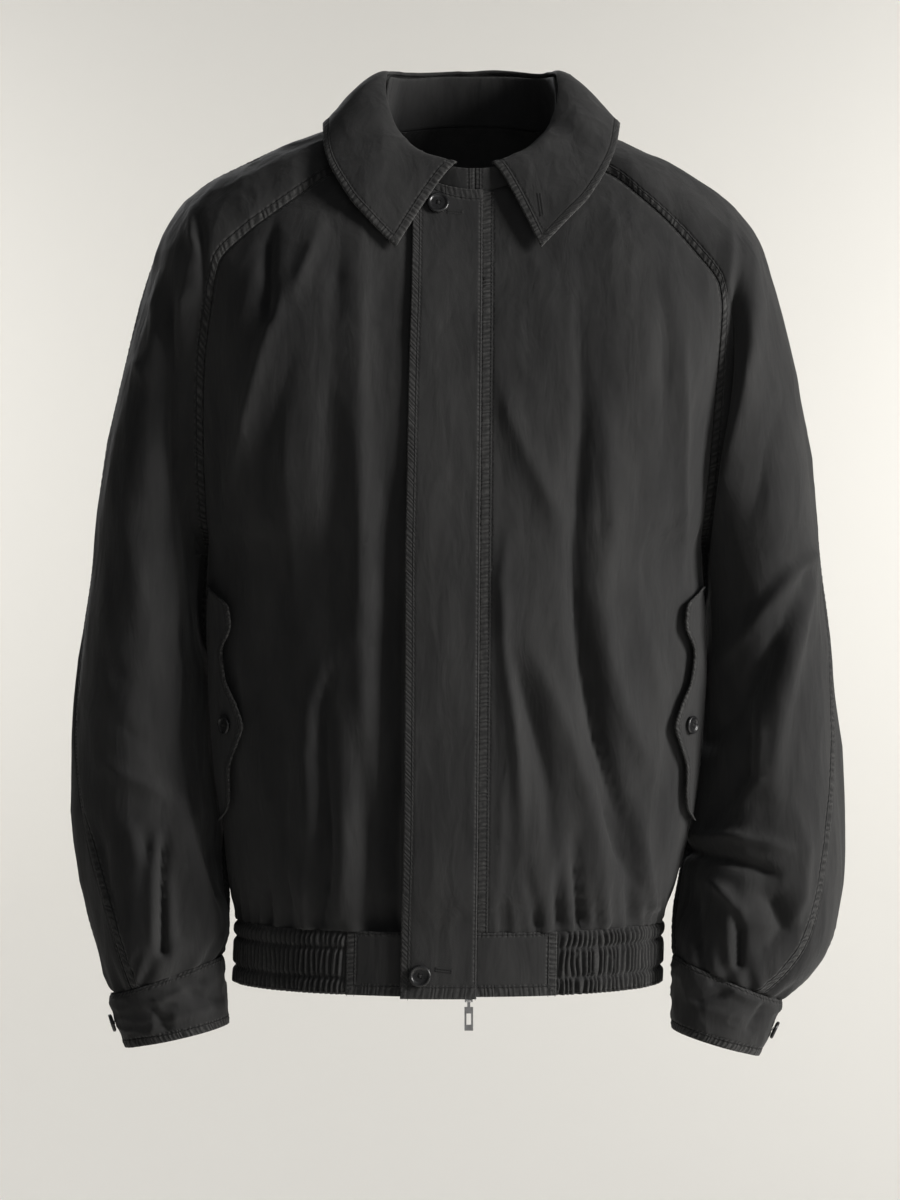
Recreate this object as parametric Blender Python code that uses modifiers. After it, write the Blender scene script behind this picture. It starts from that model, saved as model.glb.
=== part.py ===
"""A harrington jacket, hollow, in the pose in which it is worn. Metres, +Z up, front towards -Y.

The origin lies inside the neck, level with the top of the shoulders, so heights below it are negative.
"right" and "left" are the wearer's: right is at -X. "out" is a distance sideways from the middle line.
A row number runs down each seam: 0 is the neck, 10 the underarm, 16 the waist seam and 17 the hem on the
body, and 19 the cuff seam on a sleeve. Any row in between, such as 6.5, is read smoothly from the tables.
"""

import math

import bmesh
import bpy
import numpy as np
from mathutils import Matrix, Vector

SEAM_GAP = 0.0003
CLOTH = 0.0016
DOUBLE_CLOTH = 0.0022
COLLAR_CLOTH = 0.0024
UNDERARM_ROW = 10
SLEEVE_CUTS = (8, 14, 17)
SLEEVE_LENGTHS = ("sleeve", "elbow", "forearm", "wrist")
WAIST_ROW = 16
HEM_ROW = 17
CUFF_ROW = 19
SIDES = {"right": -1, "left": 1}

RAGLAN_STEPS = [0, 0.5, 1, 2, 3, 4, 5, 6, 6.5, 7, 7.5, 8, 8.5, 9, 9.5, 10]
BODY_STEPS = RAGLAN_STEPS + [11, 12, 13, 14, 14.8, 15.4, 16]
ARM_STEPS = RAGLAN_STEPS + [11, 12, 13, 14, 15, 16, 17, 18, 19]
FRONT_COLUMNS = 14
BACK_COLUMNS = 19
ARM_COLUMNS = 8


def table(columns, rows):
    """A table as one array for each named column."""
    return {name: np.array([row[i] for row in rows]) for i, name in enumerate(columns)}


FRONT = table(
    ("edge_out", "edge_depth", "edge_z", "centre_depth", "centre_z", "turn", "squareness"),
    [
        (0.0670, 0.041, -0.025, 0.080, -0.059, 50, 0.35),
        (0.1130, 0.060, -0.043, 0.085, -0.074, 40, 0.35),
        (0.1370, 0.072, -0.062, 0.091, -0.089, 35, 0.35),
        (0.1580, 0.080, -0.080, 0.097, -0.104, 32, 0.35),
        (0.1780, 0.084, -0.099, 0.103, -0.119, 32, 0.35),
        (0.2000, 0.085, -0.126, 0.110, -0.141, 36, 0.35),
        (0.2040, 0.083, -0.152, 0.116, -0.163, 45, 0.35),
        (0.2055, 0.076, -0.202, 0.125, -0.208, 55, 0.35),
        (0.2040, 0.062, -0.266, 0.132, -0.268, 65, 0.35),
        (0.2015, 0.032, -0.321, 0.136, -0.321, 82, 0.35),
        (0.1985, -0.008, -0.352, 0.137, -0.352, 98, 0.35),
        (0.1980, -0.012, -0.405, 0.137, -0.405, 106, 0.35),
        (0.1960, -0.012, -0.460, 0.136, -0.460, 108, 0.35),
        (0.1925, -0.012, -0.515, 0.135, -0.515, 108, 0.35),
        (0.1865, -0.012, -0.565, 0.134, -0.565, 107, 0.35),
        (0.1800, -0.010, -0.610, 0.131, -0.610, 104, 0.35),
        (0.1730, -0.006, -0.646, 0.119, -0.646, 96, 0.35),
        (0.1730, -0.006, -0.696, 0.120, -0.696, 96, 0.35),
    ],
)
BACK = table(
    ("edge_out", "edge_depth", "edge_z", "centre_depth", "centre_z", "turn", "squareness"),
    [
        (0.0600, 0.058, 0.006, 0.072, 0.012, 30, 0.35),
        (0.0980, 0.074, -0.022, 0.094, -0.016, 25, 0.35),
        (0.1240, 0.086, -0.044, 0.108, -0.040, 22, 0.35),
        (0.1470, 0.094, -0.066, 0.118, -0.064, 22, 0.35),
        (0.1690, 0.099, -0.090, 0.126, -0.088, 25, 0.35),
        (0.1900, 0.101, -0.118, 0.132, -0.118, 32, 0.35),
        (0.2000, 0.098, -0.150, 0.137, -0.150, 42, 0.35),
        (0.2045, 0.086, -0.202, 0.139, -0.202, 55, 0.35),
        (0.2040, 0.068, -0.266, 0.137, -0.267, 68, 0.36),
        (0.2015, 0.041, -0.321, 0.133, -0.321, 76, 0.42),
        (0.1985, 0.008, -0.352, 0.130, -0.352, 80, 0.46),
        (0.1980, 0.012, -0.405, 0.127, -0.405, 74, 0.46),
        (0.1960, 0.012, -0.460, 0.125, -0.460, 72, 0.46),
        (0.1925, 0.012, -0.515, 0.125, -0.515, 72, 0.46),
        (0.1865, 0.012, -0.565, 0.125, -0.565, 73, 0.46),
        (0.1800, 0.010, -0.610, 0.124, -0.610, 76, 0.44),
        (0.1730, 0.006, -0.646, 0.112, -0.646, 84, 0.40),
        (0.1730, 0.006, -0.696, 0.113, -0.696, 84, 0.40),
    ],
)
# The sleeve: its outer line, its inner seam and how far it stands before and behind its raglan seams.
ARM = table(
    ("right_outer", "right_z", "left_outer", "left_z", "right_inner", "left_inner", "inner_z",
     "middle_y", "front_bulge", "back_bulge", "seam_angle"),
    [
        (0.0660, 0.0040, 0.0900, 0.0040, 0.202, 0.198, -0.352, 0.008, 0.000, 0.000, 90),
        (0.1090, -0.003, 0.1310, -0.008, 0.202, 0.198, -0.352, 0.007, 0.000, 0.000, 90),
        (0.1435, -0.0135, 0.1500, -0.0165, 0.202, 0.198, -0.352, 0.007, 0.000, 0.000, 90),
        (0.1787, -0.031, 0.1830, -0.033, 0.202, 0.198, -0.352, 0.007, 0.000, 0.000, 90),
        (0.2066, -0.0435, 0.2100, -0.0485, 0.202, 0.198, -0.352, 0.007, 0.000, 0.000, 90),
        (0.2350, -0.0765, 0.2375, -0.0780, 0.202, 0.198, -0.352, 0.008, 0.001, 0.001, 90),
        (0.2555, -0.127, 0.2570, -0.124, 0.202, 0.198, -0.352, 0.007, 0.003, 0.003, 90),
        (0.2730, -0.198, 0.2750, -0.192, 0.202, 0.198, -0.352, 0.005, 0.008, 0.007, 90),
        (0.2870, -0.262, 0.2880, -0.262, 0.202, 0.198, -0.352, 0.003, 0.020, 0.018, 90),
        (0.2950, -0.320, 0.2945, -0.320, 0.202, 0.198, -0.352, 0.0015, 0.046, 0.044, 90),
        (0.3000, -0.367, 0.2990, -0.362, 0.202, 0.198, -0.352, 0.010, 0.084, 0.084, 90),
        (0.3065, -0.409, 0.3050, -0.405, 0.2045, 0.2027, -0.398, 0.014, 0.088, 0.088, 82),
        (0.3118, -0.450, 0.3095, -0.455, 0.2019, 0.2015, -0.443, 0.018, 0.090, 0.091, 70),
        (0.3175, -0.510, 0.3145, -0.510, 0.1991, 0.1987, -0.492, 0.020, 0.090, 0.093, 60),
        (0.3175, -0.558, 0.3170, -0.560, 0.1947, 0.1943, -0.541, 0.018, 0.089, 0.093, 50),
        (0.3120, -0.600, 0.3175, -0.602, 0.1902, 0.1887, -0.581, 0.012, 0.086, 0.090, 43),
        (0.3040, -0.632, 0.3140, -0.630, 0.1880, 0.1822, -0.613, 0.002, 0.079, 0.083, 40),
        (0.2950, -0.660, 0.3060, -0.664, 0.1862, 0.1770, -0.638, -0.012, 0.067, 0.071, 38),
        (0.2880, -0.683, 0.2880, -0.688, 0.1870, 0.1750, -0.656, -0.026, 0.052, 0.055, 36),
        (0.2790, -0.703, 0.2620, -0.708, 0.1895, 0.1745, -0.672, -0.036, 0.039, 0.040, 35),
    ],
)
CUFF = {
    "right": {"inner": (0.1840, -0.727), "outer": (0.2650, -0.745)},
    "left": {"inner": (0.1740, -0.731), "outer": (0.2410, -0.751)},
}
CUFF_END_DEPTH = 0.036
CUFF_END_MIDDLE = -0.040
CUFF_SEAM_DROP = 0.0006
# The garment leans: its middle line by height, and the zip's line by height.
MIDDLE_LINE = table(
    ("z", "x"),
    [(-0.70, -0.008), (-0.646, -0.006), (-0.56, 0.0), (-0.45, 0.0), (-0.35, -0.002), (-0.266, 0.0),
     (-0.20, 0.003), (-0.13, 0.0095), (-0.03, 0.012), (0.02, 0.012)],
)
ZIP_TOP_X = 0.014
ZIP_HEM_X = 0.009
# How much lower the left raglan seam's corner hangs than the right one's, by row, half on each side.
CORNER_DROP = np.array([0, 0.001, 0.002, 0.004, 0.007, 0.009, 0.008, 0.003, 0, 0, 0] + [0] * 9)

# Large folds of the fronts: from, to (distance from the middle, height), half width, height of the ridge.
FRONT_FOLDS = {
    "right": [
        (0.066, -0.290, 0.064, -0.520, 0.016, 0.006),
        (0.049, -0.300, 0.050, -0.640, 0.014, -0.006),
        (0.099, -0.450, 0.094, -0.640, 0.016, -0.007),
        (0.118, -0.440, 0.120, -0.600, 0.016, 0.006),
        (0.155, -0.150, 0.128, -0.330, 0.020, -0.006),
        (0.140, -0.560, 0.150, -0.640, 0.014, -0.005),
    ],
    "left": [
        (0.080, -0.330, 0.132, -0.615, 0.016, 0.006),
        (0.102, -0.340, 0.140, -0.590, 0.014, -0.006),
        (0.046, -0.420, 0.080, -0.635, 0.014, -0.007),
        (0.062, -0.440, 0.096, -0.620, 0.014, 0.004),
        (0.142, -0.510, 0.156, -0.635, 0.014, 0.006),
        (0.150, -0.150, 0.160, -0.330, 0.020, -0.005),
    ],
}
BACK_FOLDS = [
    (0.085, -0.170, 0.060, -0.560, 0.022, -0.007),
    (-0.095, -0.200, -0.062, -0.580, 0.022, -0.007),
    (0.135, -0.240, 0.118, -0.620, 0.022, 0.007),
    (-0.130, -0.220, -0.122, -0.610, 0.022, 0.007),
    (0.012, -0.330, -0.010, -0.640, 0.020, 0.005),
]
# Folds of a sleeve: row and angle at each end, half width in degrees, height of the ridge.
ARM_FOLDS = {
    "right": [
        (12.0, -20, 15.5, 60, 18, -0.006),
        (14.0, -40, 17.5, 20, 18, 0.006),
        (15.2, 2, 19.0, 4, 14, -0.008),
        (12.5, 150, 16.0, 100, 20, -0.006),
        (15.5, 200, 18.0, 140, 18, -0.006),
    ],
    "left": [
        (10.5, 30, 13.5, -60, 16, -0.006),
        (13.6, -50, 14.8, 40, 18, -0.009),
        (14.8, -50, 15.8, 60, 14, 0.007),
        (16.0, 10, 19.0, 24, 14, -0.008),
        (12.5, 150, 16.0, 100, 20, -0.006),
        (15.5, 200, 18.0, 140, 18, -0.006),
    ],
}
GATHER_DEPTH = 0.0022
GATHER_START_ROW = 14.3

ZIP_HALF_WIDTH = 0.006
ZIP_THICKNESS = 0.0012
PLACKET_FREE_EDGE = -0.0485
PLACKET_SEAM = 0.0065
PLACKET_LIFT = 0.0007
PLACKET_HEM_ROW = 17.03
WAIST_PLAIN_END = {"right": 0.0885, "left": 0.0760}
WAIST_BACK_END = 0.0900
ELASTIC_GATHERS = 25
ELASTIC_DEPTH = 0.0013

STAND_HEIGHT = table(
    ("share", "height", "lean"),
    [(0.0, 0.018, 0.002), (0.3, 0.018, 0.004), (0.40, 0.022, 0.005), (0.48, 0.034, 0.008), (0.57, 0.041, 0.011),
     (0.70, 0.043, 0.012), (0.85, 0.0415, 0.010), (1.0, 0.040, 0.008)],
)
LEAF_START = 0.025
# The leaf's outer edge from its points round to the middle of the back: distances from the neck's middle line.
LEAF_EDGE = table(
    ("share", "right", "left", "depth", "z"),
    [
        (0.00, 0.0605, 0.0540, 0.1085, -0.1060),
        (0.08, 0.0815, 0.0745, 0.1030, -0.0840),
        (0.16, 0.0985, 0.0930, 0.0950, -0.0640),
        (0.34, 0.1185, 0.1150, 0.0600, -0.0230),
        (0.46, 0.1210, 0.1205, 0.0150, 0.0030),
        (0.60, 0.1130, 0.1130, -0.0450, 0.0020),
        (0.80, 0.0650, 0.0650, -0.0960, -0.0090),
        (1.00, 0.0000, 0.0000, -0.1130, -0.0140),
    ],
)

FLAP_TOP_Z = -0.377
FLAP_BOTTOM_Z = -0.562
FLAP_ATTACH = 0.046
FLAP_EDGE = table(
    ("share", "width"),
    [(0.0, 0.012), (0.08, 0.044), (0.15, 0.047), (0.27, 0.036), (0.38, 0.039), (0.50, 0.051), (0.58, 0.056),
     (0.66, 0.049), (0.76, 0.038), (0.87, 0.034), (0.94, 0.028), (1.0, 0.010)],
)
WELT_WIDTH = 0.009

BUTTON_RADIUS = 0.0088
SMALL_BUTTON_RADIUS = 0.0075
BUTTON_THICKNESS = 0.0028
BUTTON_STEPS = 14

SLIDER_TOP_Z = -0.6845
SLIDER_SIZE = (0.0090, 0.0042, 0.0095)
PIVOT_Z = -0.6985
PIVOT_Y = -0.1180
PIN_RADIUS = 0.0006
PIN_CLEARANCE = 0.00035
EYE_RADIUS = 0.0021
EYE_WIDTH = 0.0030
LUG_WIDTH = 0.0012
TAB_SIZE = (0.0068, 0.0014, 0.0185)

COLOURS = {
    "cloth": ((0.022, 0.022, 0.023, 1.0), 0.85, 0.0),
    "button": ((0.012, 0.012, 0.013, 1.0), 0.35, 0.0),
    "metal": ((0.55, 0.55, 0.56, 1.0), 0.35, 1.0),
}


def smooth(keys, values, at):
    """Reads values at keys by cubic pieces that never overshoot. keys rise."""
    keys = np.asarray(keys, float)
    values = np.asarray(values, float)
    at = np.clip(np.asarray(at, float), keys[0], keys[-1])
    step = np.diff(keys)
    slope = np.diff(values) / step
    tangent = np.zeros(len(keys))
    tangent[0] = slope[0]
    tangent[-1] = slope[-1]
    same_way = slope[:-1] * slope[1:] > 0
    harmonic = 2 * slope[:-1] * slope[1:] / np.where(same_way, slope[:-1] + slope[1:], 1)
    tangent[1:-1] = np.where(same_way, harmonic, 0)
    i = np.clip(np.searchsorted(keys, at, side="right") - 1, 0, len(keys) - 2)
    t = (at - keys[i]) / step[i]
    start = values[i] + (3 * t**2 - 2 * t**3) * (values[i + 1] - values[i])
    return start + step[i] * ((t**3 - 2 * t**2 + t) * tangent[i] + (t**3 - t**2) * tangent[i + 1])


def read(source, name, row):
    """One column of a table at any row number."""
    return smooth(np.arange(len(source[name])), source[name], row)


def middle_x(z):
    return smooth(MIDDLE_LINE["z"], MIDDLE_LINE["x"], z)


def zip_x(z):
    """The zip's line leans evenly from the neck to the hem."""
    neck, hem = FRONT["centre_z"][0], FRONT["centre_z"][-1]
    return ZIP_TOP_X + (ZIP_HEM_X - ZIP_TOP_X) * np.clip((neck - z) / (neck - hem), 0, 1)


def corner_shift(side, row):
    return -SIDES[side] * smooth(np.arange(len(CORNER_DROP)), CORNER_DROP, row)


def body_row(source, side, row, share):
    """Points of one row of a front or the back, at shares 0 (middle line) to 1 (side or raglan seam)."""
    facing = -1 if source is FRONT else 1
    edge_out, edge_depth = read(source, "edge_out", row), read(source, "edge_depth", row)
    centre_depth, turn = read(source, "centre_depth", row), np.radians(read(source, "turn", row))
    reach = read(source, "squareness", row) * math.hypot(edge_out, centre_depth - edge_depth)
    out_points = (0, 0.6 * edge_out, edge_out - math.cos(turn) * reach, edge_out)
    depth_points = (centre_depth, centre_depth, edge_depth + math.sin(turn) * reach, edge_depth)
    share = np.asarray(share, float)
    weights = ((1 - share) ** 3, 3 * share * (1 - share) ** 2, 3 * share**2 * (1 - share), share**3)
    out = sum(w * p for w, p in zip(weights, out_points))
    depth = sum(w * p for w, p in zip(weights, depth_points))
    centre_z = read(source, "centre_z", row)
    edge_z = read(source, "edge_z", row) + corner_shift(side, row)
    z = centre_z + (edge_z - centre_z) * share**1.6
    start_x = zip_x(z) if source is FRONT else middle_x(z)
    line = start_x + (middle_x(z) - start_x) * out / edge_out
    return np.stack([line + SIDES[side] * out, facing * depth, z], axis=-1), out


def seam_point(source, side, row):
    """The end of a body row: a point of the raglan seam or of the side seam."""
    return body_row(source, side, row, [1.0])[0][0]


def fold_height(folds, out, z):
    """Ridges and troughs that run down a panel, each between two points."""
    total = np.zeros_like(out)
    for top_out, top_z, low_out, low_z, half_width, height in folds:
        t = (top_z - z) / (top_z - low_z)
        away = (out - (top_out + (low_out - top_out) * t)) / half_width
        ends = np.clip(np.minimum(t, 1 - t) * 5, 0, 1)
        total += height * np.exp(-(away**2)) * ends * ends * (3 - 2 * ends)
    return total


def gather_height(row, column_count):
    """Small gathers above the waist seam: every second column of the panel stands out."""
    strength = np.clip((row - GATHER_START_ROW) / (WAIST_ROW - GATHER_START_ROW), 0, 1)
    parity = np.where(np.arange(column_count) % 2 == 0, 1.0, -1.0)
    parity[0] = parity[-1] = 0
    return GATHER_DEPTH * strength * parity


def surface_normals(grid, outward):
    """Unit normals of a grid of points. outward is 1 or -1, as its rows and columns run."""
    across = np.gradient(grid, axis=1)
    down = np.gradient(grid, axis=0)
    normal = np.cross(across, down) * outward
    return normal / np.linalg.norm(normal, axis=-1, keepdims=True)


def front_panel(side):
    """A front: from the zip's edge to the side seam and the raglan seam, neck to waist seam."""
    rows = []
    for row in BODY_STEPS:
        dense = np.linspace(0, 1, 120)
        first = np.interp(ZIP_HALF_WIDTH, body_row(FRONT, side, row, dense)[1], dense)
        share = first + (1 - first) * np.linspace(0, 1, FRONT_COLUMNS)
        points, out = body_row(FRONT, side, row, share)
        lift = fold_height(FRONT_FOLDS[side], out, points[:, 2]) + gather_height(row, FRONT_COLUMNS)
        edge_ease = np.clip(np.minimum((out - 0.045) / 0.010, (1 - share) / 0.15), 0, 1)
        rows.append((points, lift * edge_ease * min(1, row / 3)))
    grid = np.array([points for points, lift in rows])
    normals = surface_normals(grid, -SIDES[side])
    return grid + normals * np.array([lift for points, lift in rows])[..., None], normals


def back_panel():
    """The back in one piece, from side seam to side seam."""
    half = BACK_COLUMNS // 2 + 1
    share = np.linspace(0, 1, half)
    rows = []
    for row in BODY_STEPS:
        right, right_out = body_row(BACK, "right", row, share)
        left, left_out = body_row(BACK, "left", row, share)
        points = np.concatenate([right[::-1], left[1:]])
        out = np.concatenate([-right_out[::-1], left_out[1:]])
        lift = fold_height(BACK_FOLDS, out, points[:, 2]) + gather_height(row, BACK_COLUMNS)
        edge_ease = np.clip(np.concatenate([1 - share[::-1], 1 - share[1:]]) / 0.15, 0, 1)
        rows.append((points, lift * edge_ease * min(1, row / 3)))
    grid = np.array([points for points, lift in rows])
    normals = surface_normals(grid, 1)
    return grid + normals * np.array([lift for points, lift in rows])[..., None], normals


def half_ring(seam, outer, depth):
    """Centre, outward half axis, its length and the start angle of an ellipse from a seam to the outer line."""
    middle = np.array([seam[0], outer[1], seam[2]])
    reach = outer - middle
    width = np.linalg.norm(reach)
    start = -math.acos(min(1.0, abs(seam[1] - outer[1]) / depth))
    half_width = width / (1 - math.sin(start))
    centre = outer - reach / width * half_width
    return centre, reach / width * half_width, start


def arm_frame(side, row):
    """The front and back half ellipses of a sleeve's ring."""
    sign = SIDES[side]
    middle = read(ARM, "middle_y", row)
    outer = np.array([sign * read(ARM, side + "_outer", row), middle, read(ARM, side + "_z", row)])
    if row <= UNDERARM_ROW:
        front_seam, back_seam = seam_point(FRONT, side, row), seam_point(BACK, side, row)
    else:
        inner = np.array([sign * read(ARM, side + "_inner", row), middle, read(ARM, "inner_z", row)])
        front_seam = back_seam = inner
    front_depth = abs(front_seam[1] - middle) + read(ARM, "front_bulge", row)
    back_depth = abs(back_seam[1] - middle) + read(ARM, "back_bulge", row)
    front = half_ring(front_seam, outer, front_depth) + (front_depth,)
    back = half_ring(back_seam, outer, back_depth) + (back_depth,)
    return front, back


def ring_points(front, back, angles):
    """Points of a ring. Angle -90 is the inner arm, 0 the front, 90 the outer arm, 180 the back."""
    points = []
    for angle in angles:
        centre, outward, start, depth = front if angle <= 90 else back
        turned = math.radians(angle if angle <= 90 else 180 - angle)
        facing = -1 if angle <= 90 else 1
        points.append(centre + outward * math.sin(turned) + np.array([0, facing * depth * math.cos(turned), 0]))
    return np.array(points)


def arm_fold_height(side, row, angles):
    total = np.zeros(len(angles))
    for top_row, top_angle, low_row, low_angle, half_width, height in ARM_FOLDS[side]:
        t = (row - top_row) / (low_row - top_row)
        away = (np.asarray(angles) - (top_angle + (low_angle - top_angle) * t)) / half_width
        ends = np.clip(np.minimum(t, 1 - t) * 5, 0, 1)
        total += height * np.exp(-(away**2)) * ends * ends * (3 - 2 * ends)
    return total


def arm_panel(side, half):
    """One of a sleeve's two pieces: the front half ends at the outer arm seam, the back half starts there."""
    grid, lifts = [], []
    for row in ARM_STEPS:
        front, back = arm_frame(side, row)
        seam_angle = float(read(ARM, "seam_angle", row))
        ends = (math.degrees(front[2]), seam_angle) if half == "front" else (seam_angle, 180 - math.degrees(back[2]))
        angles = np.linspace(*ends, ARM_COLUMNS)
        grid.append(ring_points(front, back, angles))
        ease = np.clip(np.minimum(np.arange(ARM_COLUMNS), np.arange(ARM_COLUMNS)[::-1]) / 2, 0, 1)
        lifts.append(arm_fold_height(side, row, angles) * ease * (row < CUFF_ROW))
    grid = np.array(grid)
    normals = surface_normals(grid, -SIDES[side])
    return grid + normals * np.array(lifts)[..., None], normals


def sleeve_lengths(name, grid, normals):
    """A sleeve half in four lengths, so that each solid follows the bend of the arm closely."""
    cuts = [int(np.argmin(np.abs(np.array(ARM_STEPS) - row))) for row in SLEEVE_CUTS]
    stops = [0, *cuts, len(grid) - 1]
    for length, start, end in zip(SLEEVE_LENGTHS, stops, stops[1:]):
        yield name.replace("sleeve", length), grid[start:end + 1], normals[start:end + 1]


def border(grid):
    """The indices of the points along a grid's four edges."""
    rows, columns = grid.shape[:2]
    return [(i, j) for i in range(rows) for j in range(columns) if i in (0, rows - 1) or j in (0, columns - 1)]


def join_seams(panels):
    """Where panels meet nearly flat they share one normal. Where they fold sharply each edge sinks a little."""
    places, owners = [], []
    for name, (grid, normals) in panels.items():
        for index in border(grid):
            places.append(grid[index])
            owners.append((name, index))
    places = np.array(places)
    old = {name: normals.copy() for name, (grid, normals) in panels.items()}
    for place, (name, index) in zip(places, owners):
        near = np.flatnonzero(np.linalg.norm(places - place, axis=1) < 1e-5)
        others = np.array([old[owners[k][0]][owners[k][1]] for k in near])
        flat = others @ old[name][index] > 0.6
        grid, normals = panels[name]
        total = others[flat].sum(axis=0)
        normals[index] = total / np.linalg.norm(total)
        if not flat.all():
            grid[index] = grid[index] - normals[index] * SEAM_GAP / 2


def trimmed(grid):
    """The grid with each edge drawn back from its seam by half the seam's gap."""
    grid = grid.copy()
    for axis in (0, 1):
        lines = np.moveaxis(grid, axis, 0)
        for edge, inside in ((0, 1), (-1, -2)):
            step = lines[inside] - lines[edge]
            lines[edge] += step / np.linalg.norm(step, axis=-1, keepdims=True) * SEAM_GAP / 2
    return grid


def new_material(name):
    colour, roughness, metallic = COLOURS[name]
    material = bpy.data.materials.new(name)
    material.use_nodes = True
    shader = material.node_tree.nodes["Principled BSDF"]
    shader.inputs["Base Color"].default_value = colour
    shader.inputs["Roughness"].default_value = roughness
    shader.inputs["Metallic"].default_value = metallic
    return material


def add_object(name, mesh, material, collection):
    mesh.materials.append(material)
    thing = bpy.data.objects.new(name, mesh)
    collection.objects.link(thing)
    return thing


def wall(name, grid, normals, thickness, material, collection):
    """A cloth wall: the grid is its outer face, and its inner face lies one thickness inside."""
    rows, columns = grid.shape[:2]
    inner = grid - normals * thickness
    points = np.concatenate([grid.reshape(-1, 3), inner.reshape(-1, 3)])
    layer = rows * columns

    def at(i, j, inside):
        return i * columns + j + inside * layer

    faces = []
    for i in range(rows - 1):
        for j in range(columns - 1):
            for inside in (0, 1):
                faces.append([at(i, j, inside), at(i, j + 1, inside), at(i + 1, j + 1, inside), at(i + 1, j, inside)])
    for j in range(columns - 1):
        for i in (0, rows - 1):
            faces.append([at(i, j, 0), at(i, j + 1, 0), at(i, j + 1, 1), at(i, j, 1)])
    for i in range(rows - 1):
        for j in (0, columns - 1):
            faces.append([at(i, j, 0), at(i + 1, j, 0), at(i + 1, j, 1), at(i, j, 1)])
    mesh = bpy.data.meshes.new(name)
    mesh.from_pydata([tuple(p) for p in points], [], faces)
    shape = bmesh.new()
    shape.from_mesh(mesh)
    bmesh.ops.recalc_face_normals(shape, faces=shape.faces)
    bmesh.ops.triangulate(shape, faces=shape.faces)
    shape.to_mesh(mesh)
    shape.free()
    mesh.shade_smooth()
    mesh.set_sharp_from_angle(angle=math.radians(50))
    return add_object(name, mesh, material, collection)


def front_at(side, row, out):
    """Points of the zip side of a front at distances from the zip's line, without its folds."""
    dense = np.linspace(0, 1, 200)
    points, distances = body_row(FRONT, side, row, dense)
    return np.stack([np.interp(out, distances, points[:, k]) for k in range(3)], axis=-1)


def zip_tape(side):
    """A narrow strip that fills its half of the gap between the fronts."""
    last = np.interp(SLIDER_TOP_Z + 0.001, FRONT["centre_z"][::-1], np.arange(HEM_ROW, -1, -1))
    steps = [row for row in BODY_STEPS if row < WAIST_ROW] + [WAIST_ROW, last]
    grid = np.array([front_at(side, row, np.array([0.0, ZIP_HALF_WIDTH])) for row in steps])
    return grid, surface_normals(grid, -SIDES[side])


def placket():
    """The fly over the zip: sewn to the left front, free on the right one."""
    steps = BODY_STEPS + [PLACKET_HEM_ROW]
    distances = np.linspace(PLACKET_SEAM, PLACKET_FREE_EDGE, 4)
    grid = []
    for row in steps:
        points = [front_at("left" if d > 0 else "right", row, abs(d)) for d in distances]
        grid.append(points)
    grid = np.array(grid)
    grid[-1, :, 2] -= 0.0015
    normals = surface_normals(grid, 1)
    free = ((PLACKET_SEAM - distances) / (PLACKET_SEAM - PLACKET_FREE_EDGE)) ** 2
    lift = PLACKET_LIFT + DOUBLE_CLOTH + 0.0015 * free
    return grid + normals * lift[None, :, None], normals


def waist_path(side):
    """A fine line round one side of the waist seam: its points, the share of each, front to back."""
    dense = np.linspace(0, 1, 300)
    front, front_out = body_row(FRONT, side, WAIST_ROW, dense)
    back, back_out = body_row(BACK, side, WAIST_ROW, dense)
    keep_front = front_out >= WAIST_PLAIN_END[side]
    keep_back = back_out >= WAIST_BACK_END
    return np.concatenate([front[keep_front], back[keep_back][::-1][1:]])


def elastic(side):
    """The shirred side of the waistband: small even gathers, drawn in along the stitched rows."""
    path = waist_path(side)
    length = np.concatenate([[0], np.cumsum(np.linalg.norm(np.diff(path, axis=0), axis=1))])
    stops = np.linspace(0, length[-1], 2 * ELASTIC_GATHERS + 1)
    line = np.stack([np.interp(stops, length, path[:, k]) for k in range(3)], axis=-1)
    hem_z = FRONT["edge_z"][HEM_ROW]
    top_z = FRONT["edge_z"][WAIST_ROW]
    levels = [(0.0, 0.4), (0.15, 1.0), (0.32, 0.4), (0.58, 1.0), (1.0, 0.6)]
    flat = np.array([line + np.array([0, 0, (hem_z - top_z) * share]) for share, swell in levels])
    flat[:, :, 0] += (middle_x(flat[:, :, 2]) - middle_x(top_z))
    normals = surface_normals(flat, -SIDES[side])
    parity = np.where(np.arange(len(stops)) % 2 == 1, 1.0, -1.0)
    parity[0] = parity[-1] = 0
    swell = np.array([swell for share, swell in levels])
    return flat + normals * (ELASTIC_DEPTH * swell[:, None] * parity[None, :])[..., None], normals


def plain_waist(side):
    """The flat front end of the waistband, from the zip to the elastic."""
    out = np.linspace(ZIP_HALF_WIDTH, WAIST_PLAIN_END[side], 7)
    grid = np.array([front_at(side, row, out) for row in (WAIST_ROW, HEM_ROW)])
    return grid, surface_normals(grid, -SIDES[side])


def plain_back_waist():
    """The flat middle of the waistband at the back."""
    dense = np.linspace(0, 1, 300)
    out = np.linspace(0, WAIST_BACK_END, 7)
    rows = []
    for row in (WAIST_ROW, HEM_ROW):
        halves = {}
        for side in SIDES:
            points, distances = body_row(BACK, side, row, dense)
            halves[side] = np.stack([np.interp(out, distances, points[:, k]) for k in range(3)], axis=-1)
        rows.append(np.concatenate([halves["right"][::-1], halves["left"][1:]]))
    grid = np.array(rows)
    return grid, surface_normals(grid, 1)


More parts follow.
